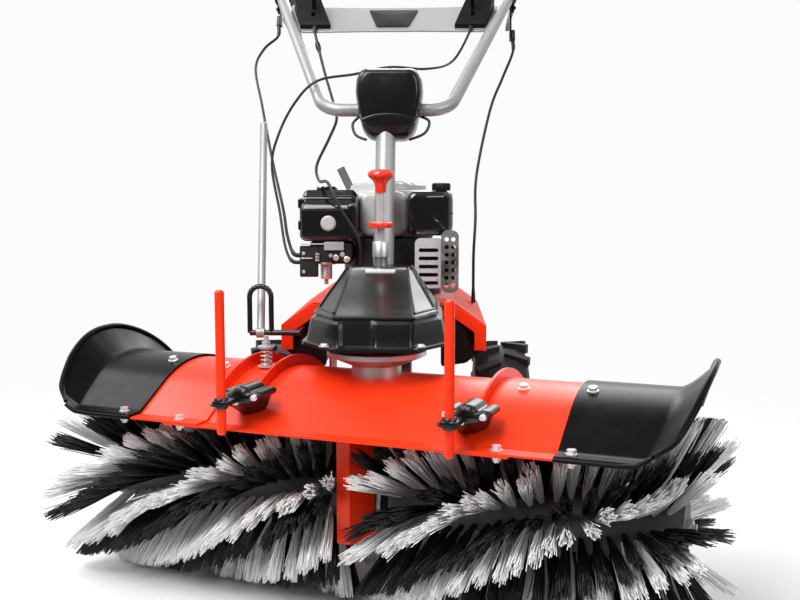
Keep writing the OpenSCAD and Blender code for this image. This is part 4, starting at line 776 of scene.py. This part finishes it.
def fuel_tank():
    """The tank: a rounded front whose right side is bevelled back, a narrower rear part, a seam and a
    ribbed cap."""
    def bevelled(rings):
        right = np.clip((rings[..., 0] - 0.101) / 0.025, 0, 1)
        ahead = np.clip((0.312 + SHIFT[1] - rings[..., 1]) / 0.062, 0, 1)
        rings[..., 1] += right * ahead * 0.030
        return rings

    mids = (0.270, 0.300)
    tank = Form().loft(bevelled(pad(rect(0.0401, 0.126, 0.581, 0.663, 0.018), upright, 0.250, 0.318, 0.012,
                                    mids)))
    tank.loft(pad(rect(0.1001, 0.126, 0.581, 0.663, 0.012), upright, 0.312, 0.440, 0.010))
    tank.loft(bevelled(pad(rect(0.0395, 0.1266, 0.6195, 0.6235, 0.0019, 48), upright, 0.2485, 0.316, 0.001,
                           mids)))
    centre = rig(*TANK_CAP, 0)
    tank.loft(lathe([(0, 0.655), (0.0109, 0.655), (0.0109, 0.6729), (0, 0.6729)], centre))
    tank.piece("tank_shell", "chassis", POLISHED, "gloss_black", "fuel_tank")
    around = np.linspace(0, 2 * np.pi, 96, endpoint=False)
    wave = 0.040 * np.cos(12 * around)[None, :, None]
    cap = lathe([(0, 0.6634), (0.0111, 0.6634), (0.0155, 0.6634), (0.0166, 0.6650), (0.0168, 0.6745),
                 (0.0155, 0.6772), (0.0120, 0.6780), (0.0110, 0.6772), (0, 0.6774)], centre, sides=96)
    grip = np.array([0, 0, 0, 1, 1, 0.5, 0, 0, 0])[:, None, None]
    cap = cap + (cap - centre) * [1, 1, 0] * wave * grip
    Form().grid(cap, round_m=True).piece("cap_shell", "tank_cap", MATT, "black_plastic", "fuel_cap")


fuel_tank()


def blower_shroud():
    """The engine shroud: a domed round housing whose top has radial air ribs round the starter cover, and a
    rounded block that reaches forward over the cylinder."""
    dome = lathe([(0, 0.5762), (0.100, 0.5762), (0.100, 0.640), (0.0985, 0.650), (0.094, 0.657),
                  (0.085, 0.664), (0.078, 0.6655), (0.076, 0.6660), (0.074, 0.674), (0.069, 0.6775),
                  (0.066, 0.6785), (0.050, 0.6795), (0.036, 0.6800), (0.031, 0.6800), (0.030, 0.6822),
                  (0, 0.6822)], rig(0, ENGINE_Y, 0), sides=120)
    groove = 0.0030
    dome[10:13, np.arange(120) % 5 < 2, 2] -= groove
    top = Form().loft(dome)
    top.loft(pad(rect(-0.050, 0.040, 0.5762, 0.662, 0.018), upright, 0.296, ENGINE_Y, 0.012))
    top.piece("blower_shell", "chassis", SHROUD, "silver_plastic", "blower_shroud")


blower_shroud()


def carburettor():
    """The carburettor: a body in the near-black cast finish, which is painted shade of its recess under the
    tank and air box, with a control plate before it; bright float bowl, flange, bracket, rods and screws in
    front."""
    body = Form().loft(pad(rect(-0.140, -0.062, 0.528, 0.5699, 0.006), upright, 0.268, 0.330, 0.004))
    body.loft(pad(rect(-0.158, -0.1235, 0.504, 0.562, 0.003), upright, 0.2625, 0.2680, 0.0012))
    body.loft(tube(rig([-0.066, -0.0561], [0.312, 0.312], [0.548, 0.548]), 0.014, 24))
    body.loft(pad(rect(-0.123, -0.060, 0.532, 0.566, 0.004), upright, 0.262, 0.270, 0.002))
    # near-black cast finish on the carburettor body: painted shade of the recess it sits in
    body.piece("carburettor_body", "chassis", DARK_CAST, "cast_alloy", "carburettor")
    bowl = [(0, 0.4890), (0.004, 0.4890), (0.004, 0.4985), (0.0100, 0.4990), (0.0112, 0.5015),
            (0.0112, 0.5265), (0.0185, 0.5270), (0.0195, 0.5285), (0.0195, 0.5325), (0.0180, 0.5340),
            (0, 0.5340)]
    bright = Form().loft(lathe(bowl, rig(-0.111, 0.284, 0)))
    bright.loft(pad(rect(-0.112, -0.075, 0.554, 0.5695, 0.002), upright, 0.2570, 0.2605, 0.0006))
    for x0, x1, z in ((-0.155, -0.108, 0.5655), (-0.155, -0.134, 0.5390)):
        bright.loft(tube(rig([x0, x1], [0.2590, 0.2590], [z, z]), 0.0013, 10))
    nut = [(0, -0.002), (0.0042, -0.002), (0.0042, 0.002), (0, 0.002)]
    for z in (0.5360, 0.5415, 0.5470):
        bright.loft(lathe(nut, rig(-0.1245, 0.2590, z), sides=6))
    for x, z, r in ((-0.090, 0.540, 0.0055), (-0.078, 0.546, 0.0045), (-0.070, 0.537, 0.0060),
                    (-0.100, 0.544, 0.0035), (-0.150, 0.548, 0.0032), (-0.150, 0.514, 0.0032)):
        screw = [(0, 0.0), (r * 0.8, 0.0), (r, 0.0008), (r, 0.0050), (0, 0.0050)]
        bright.loft(lathe(screw, rig(x, 0.2578, z), (0, 1, 0), 20))
    bright.piece("carburettor_fittings", "chassis", ZINC, "zinc")


carburettor()


def plunger():
    """The pull knob turned as a flat mushroom on a waisted neck, the lobed stop disc below it, and the
    stepped sleeve that guides the rod."""
    at = rig(0, PLUNGER_Y, 0)
    knob = lathe([(0, 0.6600), (0.0092, 0.6602), (0.0095, 0.6660), (0.0104, 0.6735), (0.0130, 0.6795),
                  (0.0180, 0.6845), (0.0218, 0.6875), (0.0228, 0.6915), (0.0212, 0.6955), (0.0155, 0.6985),
                  (0.0080, 0.6998), (0, 0.7000)], at)
    w = np.linspace(0, 2 * np.pi, 96, endpoint=False)
    disc = lathe([(0.0072, 0.6000), (0.0170, 0.6000), (0.0205, 0.6012), (0.0215, 0.6050), (0.0205, 0.6088),
                  (0.0170, 0.6100), (0.0072, 0.6100)], at, sides=96)
    notch = -0.14 * np.clip(np.cos(6 * w), 0, 1) ** 2
    outer = np.array([0, 0.5, 1, 1, 1, 0.5, 0])[:, None, None]
    disc = disc + (disc - at) * [1, 1, 0] * (notch[None, :, None] * outer)
    Form().grid(knob, round_m=True).grid(disc, round_n=True, round_m=True).piece(
        "plunger_knob_turned", "plunger", KNOB, "red_paint", "plunger_knob")
    sleeve = lathe([(0.0075, 0.4202), (0.0168, 0.4202), (0.0168, 0.5300), (0.0125, 0.5320),
                    (0.0125, 0.5475), (0.0132, 0.5490), (0.0120, 0.5500), (0.0145, 0.5510),
                    (0.0145, 0.5752), (0.0134, 0.5768), (0.0075, 0.5770)], at, sides=64)
    Form().grid(sleeve, round_n=True, round_m=True).piece(
        "plunger_sleeve_turned", "chassis", TURNED, "alloy", "plunger_sleeve")


plunger()


def post_castings():
    """The two post brackets: a lobed outline carried from the apron forward, its lower edge let down onto
    the sheet; a tongue and a collar hold the post, with a thin ring plate under it and bright screws in
    front."""
    bed, post_v = 0.352, 0.216
    lobes = np.array([(-22, -6), (-21, 9), (-15, 14), (-9, 10), (-2, 12), (4, 19), (13, 21), (23, 18),
                      (29, 11), (36, 14), (44, 13), (49, 8), (46, 3), (37, -1), (30, -7), (12, -11),
                      (-8, -12)]) / 1000
    collar = [(0.0072, -0.0085), (0.0092, -0.0085), (0.0100, -0.0075), (0.0100, -0.0035), (0.0168, -0.0032),
              (0.0168, -0.0006), (0.0104, -0.0002), (0.0104, 0.0070), (0.0095, 0.0080), (0.0072, 0.0080)]
    castings, screws = Form(), Form()
    ahead = on_brush(0.0, -1.0, 0.0) - SHIFT

    def level(loop, z):
        return on_brush(loop[:, 0], -loop[:, 1], z)

    for u, radius in ((-0.157, CENTRE_HOOD_R), (0.199, WING_HOOD_R)):
        def let_down(loop, v):
            x, z = loop.T
            reach = 1 + 2.4 * np.clip((0.180 - v) / 0.05, 0, 1)
            z = np.where(z < bed, bed + (z - bed) * reach, z)
            sheet = AXLE_Z + radius * np.sin(np.pi / 3) - (v - radius * 0.5) / np.tan(np.pi / 3)
            return on_brush(x, -v, np.maximum(z, sheet + 0.0005))

        loop = smooth_loop(lobes + [u, bed], 150, 0.004)
        castings.loft(pad(loop, let_down, 0.126, 0.187, 0.010, np.linspace(0.140, 0.170, 6)))
        tongue = rect(u - 0.012, u + 0.014, 0.176, post_v + 0.010, 0.006)
        castings.loft(pad(tongue, level, bed - 0.003, bed + 0.004, 0.0015))
        castings.grid(lathe(collar, on_brush(u, -post_v, bed), sides=40), round_n=True, round_m=True)
        for x, z, r in ((0.006, -0.004, 0.0042), (0.038, 0.005, 0.0040),
                        (-0.015, 0.005, 0.0046), (-0.012, -0.006, 0.0040)):
            head = [(0, 0.0052), (r * 0.8, 0.0050), (r, 0.0040), (r, 0.0), (r * 1.25, -0.0005),
                    (r * 1.25, -0.002), (0, -0.002)]
            screws.grid(lathe(head, on_brush(u + x, -0.1872, bed + z), ahead, 18), round_m=True)
    castings.piece("post_castings", "brush_head", SATIN_BLACK, "black_paint", "post_brackets", sharp=45.0)
    screws.piece("post_screws", "brush_head", ZINC, "zinc")


post_castings()


def frame_front():
    """The folded lip round the chassis opening and, behind it, a matt black plate that is painted shade for
    the dark inside of the opening, on both sides: flat outlines in X and Z carried a few millimetres back."""
    lip = np.array([(108, 459), (129, 459), (184, 420), (184, 376), (164, 376), (164, 409), (122, 438),
                    (108, 438)]) / 1000
    # outline of the matt black plate that is painted shade inside each chassis opening
    shade_plate_outline = np.array([(104, 456), (126, 455), (181, 416), (181, 377), (150, 352), (104, 345)]) / 1000
    lips, shade_plates = Form(), Form()
    for side in (-1, 1):
        lips.loft(pad(sided_loop(lip * [side, 1], [14] * 8, 1), upright, 0.2090, 0.2125, 0.0008))
        shade_plates.loft(pad(sided_loop(shade_plate_outline * [side, 1], [14] * 6, 1), upright, 0.2150, 0.2180, 0.0008))
    lips.piece("frame_lips", "chassis", RED, "red_paint")
    # the black plates are painted shade, standing for the dark inside of each opening
    shade_plates.piece("frame_shade_plates", "chassis", MATT, "black_paint")


frame_front()


def grip_sleeves():
    """Rubber grips: a sleeve of shallow rings with an end flange, turned about each handle end."""
    form = Form()
    s = np.linspace(-0.118, 0.0, 119)
    grip_r, ring_depth, ring_pitch = 0.0158, 0.0007, 0.006
    body = grip_r + ring_depth * np.sign(np.sin(s * 2 * np.pi / ring_pitch))
    flange = [(0, -0.125), (0.0126, -0.125), (0.0205, -0.125), (0.0215, -0.1235), (0.0205, -0.120),
              (0.0160, -0.1192)]
    tip = [(0.0140, 0.0045), (0.008, 0.0050), (0, 0.0050)]
    profile = np.vstack([flange, np.stack([body, s], -1), tip])
    for mirror in (1, -1):
        flip = np.array([mirror, 1, 1])
        form.grid(lathe(profile, BAR_END * flip + SHIFT, (BAR_END - BAR_TOP) * flip, 40), round_m=True)
    form.piece("grip_sleeves", "handle", RUBBER, "rubber", "grips", sharp=50.0)


grip_sleeves()


# a pale floor that fades out round the machine
spread = np.array([-6.0, 6.0])
floor = Form().grid(np.stack(np.broadcast_arrays(spread[:, None], spread, 0.0), -1), flip=True)
floor_mesh = bpy.data.meshes.new("floor")
floor_mesh.from_pydata(np.vstack(floor.points).tolist(), [], floor.faces)
ground = bpy.data.objects.new("floor", floor_mesh)
bpy.context.scene.collection.objects.link(ground)
pale = Finish("floor_pale", base_color=(0.80, 0.80, 0.80), roughness=0.6, specular_ior_level=0.2)
away = pale.node("ShaderNodeVectorMath", {"operation": "LENGTH"}, {0: pale.spot()}, 1)
pale.set(alpha=1 - pale.step(away, 0.8, 2.4))
floor_mesh.materials.append(pale.material)


def lamp(name, place, aim, size, power):
    """A soft square area light that looks at a point."""
    data = bpy.data.lights.new(name, "AREA")
    data.shape, data.size, data.energy = "SQUARE", size, power
    obj = bpy.data.objects.new(name, data)
    obj.location = place
    away = np.asarray(place, float) - np.asarray(aim, float)
    obj.rotation_euler = (np.arctan2(np.hypot(away[0], away[1]), away[2]), 0, np.arctan2(away[0], -away[1]))
    bpy.context.scene.collection.objects.link(obj)


lamp("key", (-1.6, -2.6, 2.6), (0, -0.2, 0.4), 1.6, 70)
lamp("fill", (2.2, -2.2, 1.8), (0, -0.2, 0.4), 1.8, 40)
lamp("top", (-1.0, -1.3, 3.0), (0, -0.2, 0.4), 2.0, 75)
lamp("back", (0.6, 2.6, 2.4), (0, 0, 0.6), 2.0, 50)
lamp("side", (-1.9, 0.8, 2.6), (-0.4, -0.5, 0.4), 1.0, 22)

# white to the camera; in gloss and in the light, white behind and beside, pale above and grey in front
world = bpy.data.worlds.new("studio")
world.use_nodes = True
bpy.context.scene.world = world
sky = Shading(world.node_tree)
heading = sky.node("ShaderNodeTexCoord", out=0)
behind = sky.step(sky.axis(heading, 1), 0.15, 0.80)
across = sky.axis(heading, 0)
beside = sky.step(across ** 2 - 0.25 * across, 0.25, 0.60) * sky.step(sky.axis(heading, 2), 0.05, 0.45)
over = 0.30 * sky.step(sky.axis(heading, 2), 0.10, 0.70)
glow = sky.node("ShaderNodeMath", {"operation": "MAXIMUM"}, {0: behind, 1: beside})
glow = sky.node("ShaderNodeMath", {"operation": "MAXIMUM"}, {0: glow, 1: over})
mirrored = sky.node("ShaderNodeLightPath", out=3) + sky.node("ShaderNodeLightPath", out=6)
room = sky.node("ShaderNodeBackground", {}, {"Color": sky.mix(glow, (0.10, 0.10, 0.103), (1, 1, 1)),
                                             "Strength": 0.6 + 0.4 * mirrored})
white = sky.node("ShaderNodeBackground", {}, {"Color": (0.97, 0.97, 0.97), "Strength": 1.0})
shown = sky.node("ShaderNodeMixShader", {}, {0: sky.node("ShaderNodeLightPath", out=0), 1: room, 2: white})
sky.feed(sky.tree.nodes["World Output"].inputs["Surface"], shown)
bpy.context.scene.view_settings.view_transform = "Standard"
